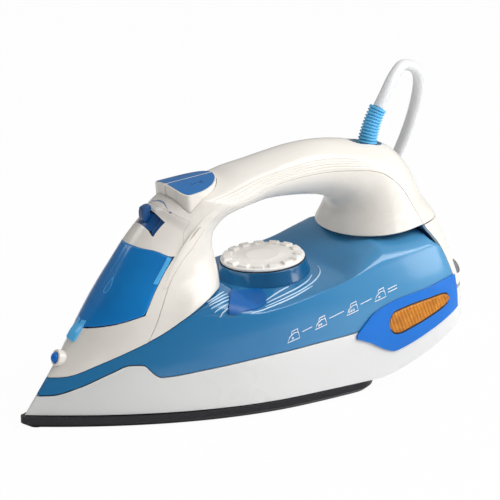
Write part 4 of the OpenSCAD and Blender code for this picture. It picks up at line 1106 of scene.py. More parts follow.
@dataclass
class Mains:
    """Cord, boot and plug."""

    dress: Dressing
    boot_x: float = 237.5
    boot_z: float = 125.2
    boot_turn: float = 66.0
    boot_a0: float = -2.0
    boot_a1: float = 30.0
    boot_r: float = 6.6
    tip_r: float = 5.4
    cord_d: float = 7.0
    coil_x: float = 222.0
    coil_y: float = 132.0
    coil_out: float = 45.7
    coil_z: float = 11.0
    full_turns: int = 5
    upper_turns: int = 2
    start_deg: float = -4.0
    end_deg: float = 270.0
    pitch: float = 7.2
    climb_at: float = 0.8
    climb_run: float = 0.2
    dip: float = 3.6
    plug_z: float = 13.0
    ribs: int = 13
    rib_at: float = 0.28
    rib_run: float = 0.67
    pin_y: float = 9.5
    way: tuple[tuple[float, float, float], ...] = (
        (251.5, 0.5, 168.5), (257, 2, 176), (264, 5, 181.5), (271, 9, 183), (281, 14, 180),
        (290, 21, 174), (297, 29, 165), (302, 38, 153), (306, 48, 139), (308, 58, 123),
        (308, 68, 106), (306, 77, 88), (303, 86, 70), (298, 94, 53), (292, 102, 38),
        (286, 109, 26), (279, 116, 17.5),
    )
    tail: tuple[tuple[float, float], ...] = (
        (9, 3.9), (18, 4.6), (26, 6.2), (34, 9.4), (42, 12.2), (49.2, 13.0),
    )

    def boot_pt(self, f: float) -> Vector:
        """A point of the boot's middle line, in millimetres."""
        a0, a = (math.radians(self.boot_a0), math.radians(mix(self.boot_a0, self.boot_a1, f)))
        return Vector(
            (
                self.boot_x + self.boot_turn * (math.cos(a0) - math.cos(a)),
                0.0,
                self.boot_z + self.boot_turn * (math.sin(a) - math.sin(a0)),
            )
        )

    def route(self) -> list[Vector]:
        """Lays the cord's middle line from the boot over the coil to the plug, in metres."""
        tilt = math.radians(self.boot_a1)
        start = self.boot_pt(1) + Vector((math.sin(tilt), 0, math.cos(tilt))) * 0.4
        points = [start, *[Vector(p) for p in self.way]]
        turns = self.full_turns + (self.end_deg - self.start_deg) / 360
        count = int(turns * 40)
        for k in range(count + 1):
            t = turns * k / count
            whole, part = int(t), t - int(t)
            ramp = ease((part - self.climb_at) / self.climb_run)
            r, z = self.coil_out, self.coil_z
            if whole < self.upper_turns:
                r -= self.pitch * (whole + ramp)
            elif whole == self.upper_turns:
                r -= self.pitch * whole + self.dip * math.sin(math.pi * ramp)
                z -= self.pitch * ramp
            else:
                z -= self.pitch
                r -= self.pitch * (self.full_turns - whole - ramp)
            a = math.radians(self.start_deg + 360 * t)
            points.append(Vector((self.coil_x + r * math.cos(a), self.coil_y + r * math.sin(a), z)))
        for x, z in self.tail:
            points.append(Vector((self.coil_x + x, self.coil_y - self.coil_out, z)))
        return through([at(*p) for p in points], 3)

    def build(self) -> None:
        dress = self.dress

        def boot_radius(f: float) -> float:
            """The boot narrows to its tip and carries round ribs over a waisted middle."""
            smooth = mix(self.boot_r, self.tip_r, f)
            share = (f - self.rib_at) / self.rib_run
            if share < 0 or share > 1:
                return smooth
            wave = 0.5 + 0.5 * math.cos(math.tau * self.ribs * share)
            return smooth - 1.1 * wave**2

        line = [self.boot_pt(k / 160) for k in range(161)]
        boot = swept([at(*p) for p in line], boot_radius, 40)
        dress.piece("cord_boot", boot, Finishes.BOOT, nodes=["boot"], slot="blue_rubber")

        plug = self.plug()
        pins = self.pins()

        route = self.route()
        curve = bpy.data.curves.new("mains_cord", "CURVE")
        curve.dimensions = "3D"
        curve.bevel_depth = self.cord_d / 2 * MM
        curve.bevel_resolution = 4
        curve.use_fill_caps = True
        spline = curve.splines.new("POLY")
        spline.points.add(len(route) - 1)
        for point, co in zip(spline.points, route):
            point.co = (*co, 1.0)
        curve.materials.append(Finishes.JACKET.build())
        cord = placed("mains_cord", curve)
        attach(cord, "iron")
        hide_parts("cord", "cord_coil", "cord_lead")
        length = sum((b - a).length for a, b in zip(route, route[1:]))
        LOG.info("cord is %.3f m long", length)
        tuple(route[0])

    def plug_pose(self) -> Matrix:
        """Lays the plug's own axis along the floor, pins away from the coil."""
        low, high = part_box("plug_body")
        root = Vector((low.x, (low.y + high.y) / 2, self.plug_z * MM))
        return Matrix.Translation(root) @ Matrix.Rotation(math.radians(90), 4, "Y")

    def plug(self) -> bpy.types.Object:
        """Makes the plug's body: a neck, a flared shoulder and a flat oval grip."""
        stops = [0, 2, 13, 14, 22, 24, 36.5, 38]
        radius = Curve(
            (0, 5.6), (2, 6), (13, 6.2), (22, 12.2), (25, 12.6), (36.5, 12.6), (38, 11.9)
        )
        spread = Curve((0, 0), (14, 0), (22.5, 6), (38, 6))

        def place(u: float, v: float) -> Vector:
            """Gives the plug's point at height u and angle v."""
            grip = 0.45 * max(0.0, math.sin((u - 25) * 1.35)) if 25 < u < 36 else 0.0
            r = radius(u) - grip
            y = r * math.sin(v) + math.copysign(spread(u), math.sin(v)) * min(
                1.0, abs(math.sin(v)) * 8
            )
            return Vector((r * math.cos(v) * MM, y * MM, u * MM))

        bm = patch(refine(stops, 0.6), steps(0, math.tau, 72), place)
        shut(bm)
        soften(bm, 0.6, 60)
        return self.dress.piece(
            "plug_grip", bm, Finishes.JACKET, nodes=["plug_body"], slot="white_cord",
            pose=self.plug_pose(),
        )

    def pins(self) -> bpy.types.Object:
        """Makes the two round pins with their chamfered tips."""
        bars = []
        for side in (NEAR, FAR):
            bar = turned(((0, 37.5), (2.4, 37.5), (2.4, 55.8), (1.6, 57), (0, 57)), 40, False)
            bmesh.ops.translate(bar, verts=bar.verts, vec=(0, side * self.pin_y * MM, 0))
            bars.append(bar)
        return self.dress.piece(
            "plug_contacts", joined(bars), Finishes.PLATED, nodes=["plug_pins"],
            slot="plated_brass", pose=self.plug_pose(),
        )


@dataclass
class Sole:
    """The soleplate with its bevelled edge and steam holes."""

    dress: Dressing
    form: BodyForm
    half: float = 56.3
    rear_half: float = 52.7
    corner_r: float = 20.0
    toe_r: float = 3.0
    bevel_h: float = 3.0
    bevel_w: float = 3.5
    hole_d: float = 2.6
    hole_x0: float = 34.0
    hole_gap: float = 19.0
    hole_rows: int = 9
    hole_in: float = 13.0
    toe_holes: tuple[float, ...] = (22, 44, 58, 72)

    def side_y(self, x: float) -> float:
        """Half width of the sole at x."""
        widest = self.form.widest_x
        slant = math.sin(math.atan(self.form.bow * self.half / widest))
        apex = self.toe_r * (1 - 1 / slant)
        if x < widest:
            return self.half * (1 - ((widest - x) / (widest - apex)) ** self.form.bow)
        back = (x - widest) / (self.form.sole_l - widest)
        return self.half - (self.half - self.rear_half) * back**2

    def outline(self, inset: float) -> list[tuple[float, float]]:
        """Traces the sole's edge from the toe round by the far side, inset all round."""
        r = self.corner_r - inset
        x0, x1 = self.toe_r + 2 * inset, self.form.sole_l - inset
        start = self.side_y(x0) - inset
        run = [x0 + (x1 - r - x0) * (k / 70) ** 1.3 for k in range(71)]
        half = [
            (x0 - (x0 - 1.5 * inset) * math.cos(math.radians(a)), start * math.sin(math.radians(a)))
            for a in range(0, 90, 10)
        ]
        half += [(x, self.side_y(x) - inset) for x in run]
        corner_y = self.side_y(x1 - r) - inset - r
        half += [
            (x1 - r + r * math.cos(math.radians(a)), corner_y + r * math.sin(math.radians(a)))
            for a in range(81, -1, -9)
        ]
        return half + [(x, -y) for x, y in reversed(half[1:])]

    def build(self) -> None:
        """Makes the plate: rim, bevel and sole face, with the holes cut through."""
        rings = (
            (self.outline(0), self.form.sole_h),
            (self.outline(0), self.bevel_h),
            (self.outline(self.bevel_w), 0.0),
        )
        count = len(rings[0][0])

        def place(u: float, v: float) -> Vector:
            """Gives the rim's point at corner u of ring v."""
            outline, z = rings[int(v)]
            x, y = outline[int(u) % count]
            return at(x, y, z)

        bm = patch(numbers(count), [0.0, 1.0, 2.0], place)
        shut(bm)
        plate = self.dress.piece(
            "sole_plate", bm, Finishes.ENAMEL, nodes=["soleplate"], slot="black_enamel", edge=0.5,
            crease=25,
        )
        row = [self.hole_x0 + self.hole_gap * k for k in range(self.hole_rows)]
        holes = [(x, side * (self.side_y(x) - self.hole_in)) for x in row for side in (NEAR, FAR)]
        holes += [(x, 0.0) for x in self.toe_holes]
        tool = bmesh.new()
        for x, y in holes:
            spot = Matrix.Translation(at(x, y, 3.6))
            bmesh.ops.create_cone(
                tool, cap_ends=True, segments=20, radius1=self.hole_d / 2 * MM,
                radius2=self.hole_d / 2 * MM, depth=12 * MM, matrix=spot,
            )
        self.dress.cut(plate, tool)
        face = plate.data
        face.materials.append(Finishes.SOLE.build())
        for poly in face.polygons:
            if poly.normal.z < -0.95:
                poly.material_index = 1


def stadium(length: float, width: float) -> list[tuple[float, float]]:
    """Traces a slot with round ends, in millimetres about its middle."""
    r, run = width / 2, (length - width) / 2
    turns = [math.radians(a) for a in range(-90, 91, 10)]
    right = [(run + r * math.cos(a), r * math.sin(a)) for a in turns]
    return right + [(-x, -y) for x, y in right]


BUTTON_AXES = axes(112.5, 134.6, -5.5)
NOZZLE_Z = 38.5
NOZZLE_AXES = axes(BodyForm().nose_x(NOZZLE_Z), NOZZLE_Z, -72)
DIAL_AXES = axes(BodyForm.dial_x, BodyForm.dial_top, -BodyForm.dial_lean)
LEVER_AXES = axes(81.4, 113.35, 30, 12)
NOSE_INSIDE = at(115, 0, 60)
FLANK_INSIDE = at(236, 0, 43)


def button_side(f: float) -> float:
    """Half width of the two buttons' outline, as a share, at the share f of their length."""
    if f < 0.2:
        return max(0.0, 1 - (1 - f / 0.2) ** 3) ** 0.5
    return max(0.0, 1 - ((f - 0.2) / 0.8) ** 2.2) ** 0.5


def button_tool() -> bmesh.types.BMesh:
    """Shapes the tool that cuts the buttons' opening."""
    run = [0.5 - 0.5 * math.cos(math.pi * k / 32) for k in range(33)]
    side = [((f - 0.5) * 32.8, 19.9 * button_side(f)) for f in run]
    tool = prism(side + [(x, -y) for x, y in reversed(side[1:-1])], -20, 20)
    bmesh.ops.transform(tool, matrix=BUTTON_AXES, verts=tool.verts)
    return tool


@dataclass
class Buttons:
    """The two pump buttons: white walls, crowned tops and blue inlays."""

    dress: Dressing
    length: float = 32.0
    half: float = 19.5
    split: float = 0.35
    fall: float = 3.9
    height: float = 14.0

    def crown(self, y: float) -> float:
        """Height of the buttons' top, which falls away to both sides."""
        return -self.fall * (abs(y) / self.half) ** 1.7

    def top_pt(self, f: float, v: float, side: int, inset: float, lift: float) -> Vector:
        """A point of one button's top.

        Args:
            f: Share of the length.
            v: 0 at the split, 1 at the outer edge.
            side: NEAR or FAR.
            inset: How far inside the outline, in millimetres.
            lift: How far above the top, in millimetres.

        Returns:
            The point in the buttons' axes.
        """
        x = (f - 0.5) * (self.length - 2 * inset)
        low = self.split + inset * 0.5
        high = max(low, (self.half - inset) * button_side(f))
        y = mix(low, high, v)
        return Vector((x, side * y, self.crown(y) + lift)) * MM

    def one(self, side: int, body: str, name: str) -> None:
        """Makes one button with its inlay.

        Args:
            side: NEAR or FAR.
            body: The body that it moves with.
            name: Beginning of the pieces' names.
        """
        run = [0.5 - 0.5 * math.cos(math.pi * k / 56) for k in range(57)]

        def shell(f: float, v: float) -> Vector:
            """Gives the wall below -0.02 and above 1.02, and the top between."""
            p = self.top_pt(f, clamp(v, 0.0, 1.0), side, 0.0, 0.0)
            if v < 0 or v > 1:
                p.z = mix(p.z, -self.height * MM, -v if v < 0 else v - 1)
            return p

        bm = patch(run, refine([-1, 0], 0.5) + refine([0, 1], 0.06)[1:] + [1.1, 1.5, 2.0], shell)
        self.dress.piece(
            f"{name}_cap", bm, Finishes.WHITE_SHELL, body, [f"{name}_button"], "white_plastic",
            wall=1.2, edge=0.5, pose=BUTTON_AXES, middle=Vector((0, side * 8, -9)) * MM,
        )

        def inlay(f: float, v: float) -> Vector:
            """Gives the inlay's point."""
            return self.top_pt(f, v, side, 0.8, 0.25)

        bm = patch(run, steps(0, 1, 16), inlay)
        self.dress.piece(
            f"{name}_inset", bm, Finishes.INLAY, body, [f"{name}_inlay"], "inlay_blue",
            wall=0.9, edge=0.25, pose=BUTTON_AXES, middle=Vector((0, side * 8, -19)) * MM,
        )

        def lay(x: float, y: float) -> Vector:
            """Lays ink on the inlay, at x along and y away from the split."""
            return Vector((x, side * y, self.crown(y) + 0.3)) * MM

        strokes = [((-3.4, 8.0), (-3.4, 10.4)), ((-2.2, 9.2), (0.4, 9.2))]
        strokes += [((1.4, 9.2), (4.2, 9.2 + k * 1.5)) for k in (-1, 0, 1)]
        if side == FAR:
            strokes = [
                tuple((-3 + 3 * j + 0.7 * math.sin(k * 1.1), 6.8 + 0.8 * k) for k in range(7))
                for j in range(3)
            ]
        bm = joined([ribbon(stroke, 0.55, lay) for stroke in strokes])
        self.dress.piece(
            f"{name}_sign", bm, Finishes.SIGN, body, slot="inlay_blue", wall=0.05,
            pose=BUTTON_AXES, middle=Vector((0, side * 8, -19)) * MM,
        )

    def build(self) -> None:
        """Makes both buttons."""
        self.one(NEAR, "spray_button", "spray")
        self.one(FAR, "burst_button", "burst")


@dataclass
class Dial:
    """The temperature dial, its turret and the marker on the tank."""

    dress: Dressing
    form: BodyForm
    blocks: int = 15

    def knob(self) -> None:
        """Makes the white dial with raised blocks round its edge."""
        low, high = -1.5, 0.0
        rings = (
            (0, -1.2, -1.2), (8.6, -1.2, -1.2), (9.2, -0.8, -0.8), (10.6, -0.8, -0.8),
            (11.3, -1.3, -1.3), (16, low, low), (19.2, low, low), (19.7, low, high - 0.2),
            (21.2, low, high), (23.2, low, high), (24.2, low, high - 0.3), (24.5, low, low),
            (25.3, -1.8, -1.8), (25.7, -2.2, -2.2), (25.7, -3.1, -3.1), (25.2, -3.55, -3.55),
            (0, -3.55, -3.55),
        )
        pitch = math.tau / self.blocks
        marks: list[float] = []
        for k in range(self.blocks):
            marks += [(k + f) * pitch for f in (0.0, 0.15, 0.34, 0.38, 0.58, 0.78, 0.96)]
        marks.append(math.tau)

        def place(a: float, v: float) -> Vector:
            """Gives the dial's point at angle a on ring v."""
            r, down, up = rings[int(v)]
            f = (a / pitch) % 1.0
            raised = 0.37 < f < 0.97
            z = up if raised else down
            return Vector((r * math.cos(a), r * math.sin(a), z)) * MM

        bm = patch(marks, numbers(len(rings) - 1), place)
        bmesh.ops.recalc_face_normals(bm, faces=bm.faces)
        # The dial's whiter finish is painted light against the handle's shadow
        self.dress.piece(
            "dial_knob", bm, Finishes.DIAL_WHITE, "dial", ["dial"], "white_plastic", edge=0.22,
            pose=DIAL_AXES,
        )

    def turret(self) -> None:
        """Makes the tinted band under the dial and its foot on the tank."""
        profile = (
            (12, -4.0), (24.6, -4.0), (25.6, -3.75), (26.5, -4.2), (26.9, -6.0), (27.6, -9.0),
            (28.5, -11.8), (28.7, -12.7), (28.1, -13.0), (26.9, -12.0), (25.4, -9.0), (24.6, -6.0),
            (24.2, -5.2), (12, -5.2),
        )
        # The band's finish paints a highlight on its toe side and shade behind it
        self.dress.piece(
            "dial_band", turned(profile, 144), Finishes.TURRET, nodes=["dial_turret"],
            slot="blue_translucent", edge=0.25, pose=DIAL_AXES, crease=30,
        )
        foot = (
            (26.2, -11.6), (27.4, -12.8), (29.6, -13.8), (33.5, -15.4), (37.5, -17.4), (37, -18.2),
            (32, -16.6), (26.2, -14.2),
        )
        self.dress.piece(
            "dial_foot", turned(foot, 144), Finishes.TANK, slot="blue_translucent", pose=DIAL_AXES,
        )
        # A dark ring in the groove under the dial: painted shade where the gap's shadow falls
        groove = ((20, -3.55), (26.0, -3.55), (26.0, -4.1), (20, -4.1))
        self.dress.piece(
            "dial_shadow_gap", turned(groove, 144), Finishes.GASKET, slot="dark_plastic",
            pose=DIAL_AXES,
        )

    def on_crown(self, x: float, y: float, lift: float) -> Vector:
        """A point of the frame on the near side of the crown."""
        low, high = 0.0, 1.0
        for _ in range(18):
            mid = (low + high) / 2
            if -self.form.crown_pt(x, mid).y > y:
                low = mid
            else:
                high = mid
        p = self.form.crown_pt(x, low, lift)
        return at(p.x, p.y, p.z)

    def marker(self) -> None:
        """Makes the dark block on the tank that the dial is read against."""
        low = Curve((112.6, 45), (118, 46.3), (126, 46.6), (139.6, 41.8), (146, 31))
        top = Curve((112.6, 44.6), (117, 39.5), (124, 29), (133, 22), (146, 24))

        def place(x: float, v: float) -> Vector:
            """Gives the block's point at x, v up the crown."""
            return self.on_crown(x, mix(low(x), top(x), v), 1.3)

        bm = patch(steps(112.6, 146, 30), steps(0, 1, 16), place)
        self.dress.piece(
            "dial_marker", bm, Finishes.POINTER, nodes=["dial_pointer"], slot="dark_blue_plastic",
            wall=1.2, edge=0.5, middle=at(135, 0, 40),
        )

    def ribs(self) -> None:
        """Makes the fine ribs that sweep off the turret along the tank's shoulder, pale and slightly
        glowing: a painted highlight along each.
        """
        ways = (
            ((104.5, 34.6), (112, 33.4), (120, 28.5)),
            ((104, 37), (112, 36), (120, 32)),
            ((103.5, 39), (111, 38.6), (119, 35.8)),
            ((103.5, 40.8), (110, 40.8), (117, 39.2)),
            ((105, 42.4), (110, 42.6), (115, 42)),
            ((107.5, 43.8), (111, 44), (114, 43.9)),
            ((141, 40.5), (150, 36), (158, 32.5), (163, 31)),
            ((140, 43.2), (152, 40), (165, 36.2), (176, 31), (184, 24)),
            ((137, 46.2), (152, 43.6), (168, 39.2), (181, 32.5), (190, 23.5), (194, 14)),
            ((126, 48.3), (142, 47.4), (158, 44.8), (175, 39)),
        )
        parts = []
        for way in ways:
            line = through([Vector((x, y, 0)) for x, y in way], 10)
            tube = [self.on_crown(p.x, p.y, 0.12) for p in line]

            def radius(f: float) -> float:
                """The rib runs out at both ends."""
                return 0.08 + 0.42 * math.sin(math.pi * clamp(f, 0.0, 1.0)) ** 0.5

            parts.append(swept(tube, radius, 8))
        self.dress.piece(
            "shoulder_ribs", joined(parts), Finishes.RIB, slot="blue_translucent",
        )

    def build(self) -> None:
        """Makes dial, turret, marker and ribs."""
        self.knob()
        self.turret()
        self.marker()
        self.ribs()


@dataclass
class Lever:
    """The steam lever: a saddle that slides in the window and a fin for the thumb."""

    dress: Dressing
    half_deg: float = 77.0

    def build(self) -> None:
        """Makes the lever: saddle, fin, hub and arm."""
        rim = ((9.9, -3.7), (12.45, -3.75), (12.1, -2.6), (11.2, -0.6), (10.9, 1.5), (10.6, 3.2),
               (10.3, 4.6), (9.9, 6.3), (7.5, 6.3), (8.2, 1.2))

        def place(a: float, v: float) -> Vector:
            """Gives the saddle's point at angle a and corner v."""
            r, z = rim[int(v) % len(rim)]
            return Vector((-r * math.cos(a), -r * math.sin(a), z)) * MM

        edge = math.radians(self.half_deg)
        bm = patch(steps(-edge, edge, 64), numbers(len(rim)), place)
        shut(bm)
        fin = prism(
            ((-9.2, 1), (-11, -0.9), (-13.2, 0.4), (-14.3, 1.6), (-15.6, 3.6), (-16.5, 6.2),
             (-15.0, 8.4), (-13, 10.1), (-11.4, 8.7), (-11.2, 6.6), (-10.2, 4.6), (-8.6, 4.0)),
            -2.6, 2.6,
        )
        upright = Matrix.Rotation(math.radians(90), 3, "X")
        bmesh.ops.rotate(fin, cent=(0, 0, 0), matrix=upright, verts=fin.verts)
        soften(fin, 0.5, 30, 3)
        hub = turned(((2.1, -4.2), (4.5, -4.2), (4.5, 4.2), (2.1, 4.2)), 40)
        arm = prism(((-10.2, -2), (-3.2, -2), (-3.2, 2), (-10.2, 2)), -3.0, 1.2)
        self.dress.piece(
            "steam_slider", joined([bm, fin, hub, arm]), Finishes.NAVY, "lever", ["steam_lever"],
            "navy_plastic", edge=0.3, pose=LEVER_AXES,
        )


@dataclass
class Nose:
    """The filler door and the spray nozzle."""

    dress: Dressing
    handle: HandleForm

    def door_pt(self, u: float, v: float, d: float) -> Vector:
        """Gives the door's point at share u up and signed share v across, d inside."""
        w = abs(v)
        low = Curve((0, 2.26), (0.33, 2.23), (0.7, 2.12), (1, 2.05))(w)
        top = Curve((0, 5.07), (0.35, 5.1), (0.72, 5.22), (0.9, 5.12), (1, 4.96))(w)
        s = mix(low, top, u)
        edge = Curve((2, 2.9), (2.3, 2.95), (4, 2.95), (4.5, 2.93), (5, 2.85))(s)
        return self.handle.place(s, v * edge, d)

    def door(self) -> None:
        """Makes the tinted door with its ridge."""

        def place(u: float, v: float) -> Vector:
            """Gives the door's outer face, with a soft ridge down its middle."""
            ridge = -0.35 * math.exp(-((v / 0.05) ** 2))
            return self.door_pt(u, v, ridge)

        bm = patch(steps(0, 1, 60), both_ways(refine([0, 0.1, 1], 0.03)), place)
        self.dress.piece(
            "filler_door", bm, Finishes.DOOR, "door", ["water_door"], "deep_blue_translucent",
            wall=1.6, edge=0.4, middle=NOSE_INSIDE,
        )

    def paint_rim_highlight(self) -> None:
        """Makes the lighter, slightly glowing rim that shows all round the door: a painted highlight.
        """
        ring = patch(
            [-0.004, 0.008, 0.02, *steps(0.02, 0.98, 40), 0.992, 1.004],
            [-1.012, -0.98, -0.95, *steps(-0.95, 0.95, 30), 0.98, 1.012],
            lambda u, v: self.door_pt(u, v, 0.7),
            lambda u, v: not (0.02 < u < 0.98 and abs(v) < 0.95),
        )
        self.dress.piece(
            "door_painted_rim_highlight", ring, Finishes.DOOR_EDGE, "door", slot="deep_blue_translucent", wall=0.7,
            middle=NOSE_INSIDE,
        )

    def lip(self) -> None:
        """Makes the finger lip at the door's foot, in the lighter glowing blue that paints the door's
        edge highlight.
        """

        def tab(s: float, v: float) -> Vector:
            """Gives the lip's point, standing proud of the panel."""
            rise = 1.2 * ease((2.34 - s) / 0.3)
            return self.handle.place(s, v, -rise - 0.3)

        bm = patch(steps(1.8, 2.45, 14), steps(-0.5, 0.5, 16), tab)
        self.dress.piece(
            "door_lip", bm, Finishes.DOOR_EDGE, "door", slot="deep_blue_translucent", wall=1.5,
            edge=0.4, middle=NOSE_INSIDE,
        )

    def paint_edge_highlights(self) -> None:
        """Makes lighter, slightly glowing strips along the upper half of the door's sides: painted
        highlights on its edges.
        """
        parts = []
        for side in (NEAR, FAR):

            def strip(u: float, v: float, side: int = side) -> Vector:
                """Gives the bright edge's point."""
                return self.door_pt(u, side * v, -0.45)

            parts.append(patch(steps(0.5, 0.985, 30), steps(0.905, 0.995, 4), strip))
        self.dress.piece(
            "door_painted_edge_highlights", joined(parts), Finishes.DOOR_EDGE, "door",
            slot="deep_blue_translucent", wall=0.9, edge=0.25, middle=NOSE_INSIDE,
        )

    def water_sign(self) -> None:
        """Prints a drop of water on the door, in the lighter glowing blue that paints the door's edge
        highlight.
        """

        def lay(x: float, y: float) -> Vector:
            """Lays the water sign on the door."""
            return self.door_pt(0.5 + y / 50, -0.2 - x / 25, -0.06)

        drop = [
            (2.0 * math.sin(a) * math.sin(a / 2) ** 1.5, 5.0 * math.cos(a))
            for a in steps(0, math.tau, 40)
        ]
        bm = ribbon(drop, 0.3, lay)
        self.dress.piece(
            "door_water_sign", bm, Finishes.DOOR_EDGE, "door", wall=0.05,
            slot="deep_blue_translucent", middle=NOSE_INSIDE,
        )

    def nozzle(self) -> None:
        """Makes the spray nozzle and its white collar."""
        ring = ((3.25, -5.5), (5, -5.5), (5, 1.4), (4.7, 2.0), (4.2, 2.2), (3.6, 2.2), (3.25, 1.9))
        self.dress.piece(
            "nozzle_collar", turned(ring, 64), Finishes.WHITE_SHELL, nodes=["nozzle_ring"],
            slot="white_plastic", edge=0.15, pose=NOZZLE_AXES,
        )
        tip = ((0, -9), (3.05, -9), (3.05, 2.4), (2.9, 3.1), (2.3, 3.8), (1.5, 4.15), (0.8, 4.2),
               (0.45, 3.6), (0.45, 1), (0, 1))
        self.dress.piece(
            "nozzle_tip", turned(tip, 48, False), Finishes.BRIGHT, nodes=["nozzle"],
            slot="bright_blue_plastic", edge=0.12, pose=NOZZLE_AXES,
        )

    def build(self) -> None:
        """Makes the door with all that it carries, and the nozzle."""
        self.door()
        self.paint_rim_highlight()
        self.lip()
        self.paint_edge_highlights()
        self.water_sign()
        self.nozzle()


@dataclass
class Flanks:
    """What sits on the tank's sides: trims, ribbed lamp covers and the printed signs."""

    dress: Dressing
    form: BodyForm
    lens_x0: float = 220.0
    lens_x1: float = 267.2
    lens_gap: float = 0.9
    rib_step: float = 2.4
    rib_lean: float = 0.35
    rib_depth: float = 0.6
    top: Curve = Curve(
        (195, 37.6), (201.5, 43.4), (210, 50), (230, 55.7), (248, 57.8), (272, 61), (278, 61)
    )
    low: Curve = Curve(
        (195, 36.4), (205.7, 32), (217.5, 25.5), (224, 23.6), (233, 25.5), (252, 32), (278, 42)
    )
    axis: Curve = Curve(
        (195, 37.2), (221, 41), (228, 41.6), (236, 43.2), (252, 46.3), (263, 48.4), (278, 50)
    )
    half: Curve = Curve(
        (220, 0.4), (220.5, 2.6), (221.5, 4.2), (224, 6.2), (229, 6.9), (236, 6.6), (252, 5.1),
        (262.7, 3.6), (265.6, 2.5), (266.8, 1.4), (267.2, 0.4),
    )

    def trim(self, side: int, name: str) -> None:
        """Makes one bright trim with the hole for its lamp cover.

        Args:
            side: NEAR or FAR.
            name: Ending of the piece's name.
        """
        x0, x1 = self.lens_x0, self.lens_x1

        def levels(x: float, v: float) -> float:
            """Height at x: 0 the trim's foot, 1 and 2 the lens hole, 3 the top."""
            hole = self.half(x) + self.lens_gap if x0 - 0.1 < x < x1 + 0.1 else 0.4
            rows = (self.low(x), self.axis(x) - hole, self.axis(x) + hole, self.top(x))
            i = min(int(v), 2)
            return mix(rows[i], rows[i + 1], v - i)

        def face(x: float, v: float) -> Vector:
            """Gives the trim's point."""
            return self.form.on_flank(x, levels(x, v), side, 1.3)

        stops = refine([196, x0, x0 + 0.5, x0 + 1.5, x0 + 4, x1, 272, 276], 1.6)
        bm = patch(
            stops, refine([0, 1, 2, 3], 0.25), face,
            lambda x, v: not (1 < v < 2 and x0 < x < x1),
        )
        self.dress.piece(
            f"trim_{name}_face", bm, Finishes.BRIGHT, nodes=[f"trim_{name}"],
            slot="bright_blue_plastic", wall=1.1, edge=0.5, crease=30, middle=FLANK_INSIDE,
        )

    def lens(self, side: int, name: str) -> None:
        """Makes one ribbed lamp cover.

        Args:
            side: NEAR or FAR.
            name: Ending of the piece's name.
        """
        x0, x1 = self.lens_x0, self.lens_x1

        def glass(x: float, v: float) -> Vector:
            """Gives the lens's point, with upright ribs that lean with the axis."""
            half = self.half(x)
            wave = abs(math.sin(math.pi * (x - x0 + self.rib_lean * v * half) / self.rib_step))
            edge = min(1.0, (1 - abs(v)) * 6)
            out = 0.95 + (0.15 + self.rib_depth * wave) * edge
            return self.form.on_flank(x, self.axis(x) + v * half, side, out)

        run = refine([x0, x0 + 0.5, x0 + 1.5, x0 + 4, 265.6, 266.8, x1], 0.3)
        self.dress.piece(
            f"lamp_cover_{name}", patch(run, steps(-1, 1, 16), glass), Finishes.AMBER,
            nodes=[f"lens_{name}"], slot="amber_lens", wall=1.0, middle=FLANK_INSIDE,
        )

    def gasket(self, side: int, name: str) -> None:
        """Makes the dark gasket that a lamp cover lies on.

        Args:
            side: NEAR or FAR.
            name: Ending of the piece's name.
        """
        x0, x1 = self.lens_x0, self.lens_x1

        def bed(x: float, v: float) -> Vector:
            """Gives the gasket's point under the lens."""
            return self.form.on_flank(x, self.axis(x) + v * (self.half(x) + 1.1), side, 0.75)

        run = refine([x0 - 0.6, x0, x0 + 1, x0 + 4, x1, x1 + 0.6], 1.2)
        self.dress.piece(
            f"lamp_gasket_{name}", patch(run, steps(-1, 1, 8), bed), Finishes.GASKET,
            slot="dark_plastic", wall=0.4, middle=FLANK_INSIDE,
        )

    def signs(self) -> None:
        """Prints the heat signs on the near side of the tank: four small signs and dashes."""
        spots = ((152, 45.5), (171.4, 50.2), (194.3, 54.8), (215, 59.6))
        parts = []

        for k, (cx, cz) in enumerate(spots):

            def lay(x: float, y: float, cx: float = cx, cz: float = cz) -> Vector:
                """Lays ink round one spot, rising with the line of signs."""
                return self.form.on_flank(cx + x, cz + y + 0.22 * x, NEAR, 0.1)

            sole = ((-4.2, -2.6), (4.2, -2.6), (3.4, 1.2), (0.6, 1.6), (-2.6, 0.2), (-4.2, -2.6))
            grip = ((-1.4, 1.2), (-0.8, 3.0), (3.2, 3.2), (3.0, 1.6))
            parts += [ribbon(sole, 0.5, lay), ribbon(grip, 0.5, lay)]
            for j in range(k % 3 + 1):
                mid = -0.6 + 1.6 * j - 0.8 * (k % 3)
                dot = [
                    (mid + 0.45 * math.cos(a), -1.1 + 0.45 * math.sin(a))
                    for a in steps(0, math.tau, 10)
                ]
                parts.append(ribbon(dot, 0.45, lay))
            if k < 3:
                gap = spots[k + 1][0] - cx
                run = [(6.2 + (gap - 12.4) * t, 0.2 + t * 0.2) for t in (0.0, 0.5, 1.0)]
                parts.append(ribbon(run, 0.45, lay))
            else:
                for j in range(2):
                    words = [(6.0 + t, 1.0 - 1.8 * j) for t in (0.0, 3.5, 7.0)]
                    parts.append(ribbon(words, 0.5, lay))
        bm = joined(parts)
        self.dress.piece(
            "printed_signs", bm, Finishes.INK, slot="white_plastic", wall=0.05,
            middle=at(190, 0, 50),
        )

    def build(self) -> None:
        """Makes both sides' trims and lamp covers, and prints the signs."""
        for side, name in ((NEAR, "left"), (FAR, "right")):
            self.trim(side, name)
            self.lens(side, name)
            self.gasket(side, name)
        self.signs()


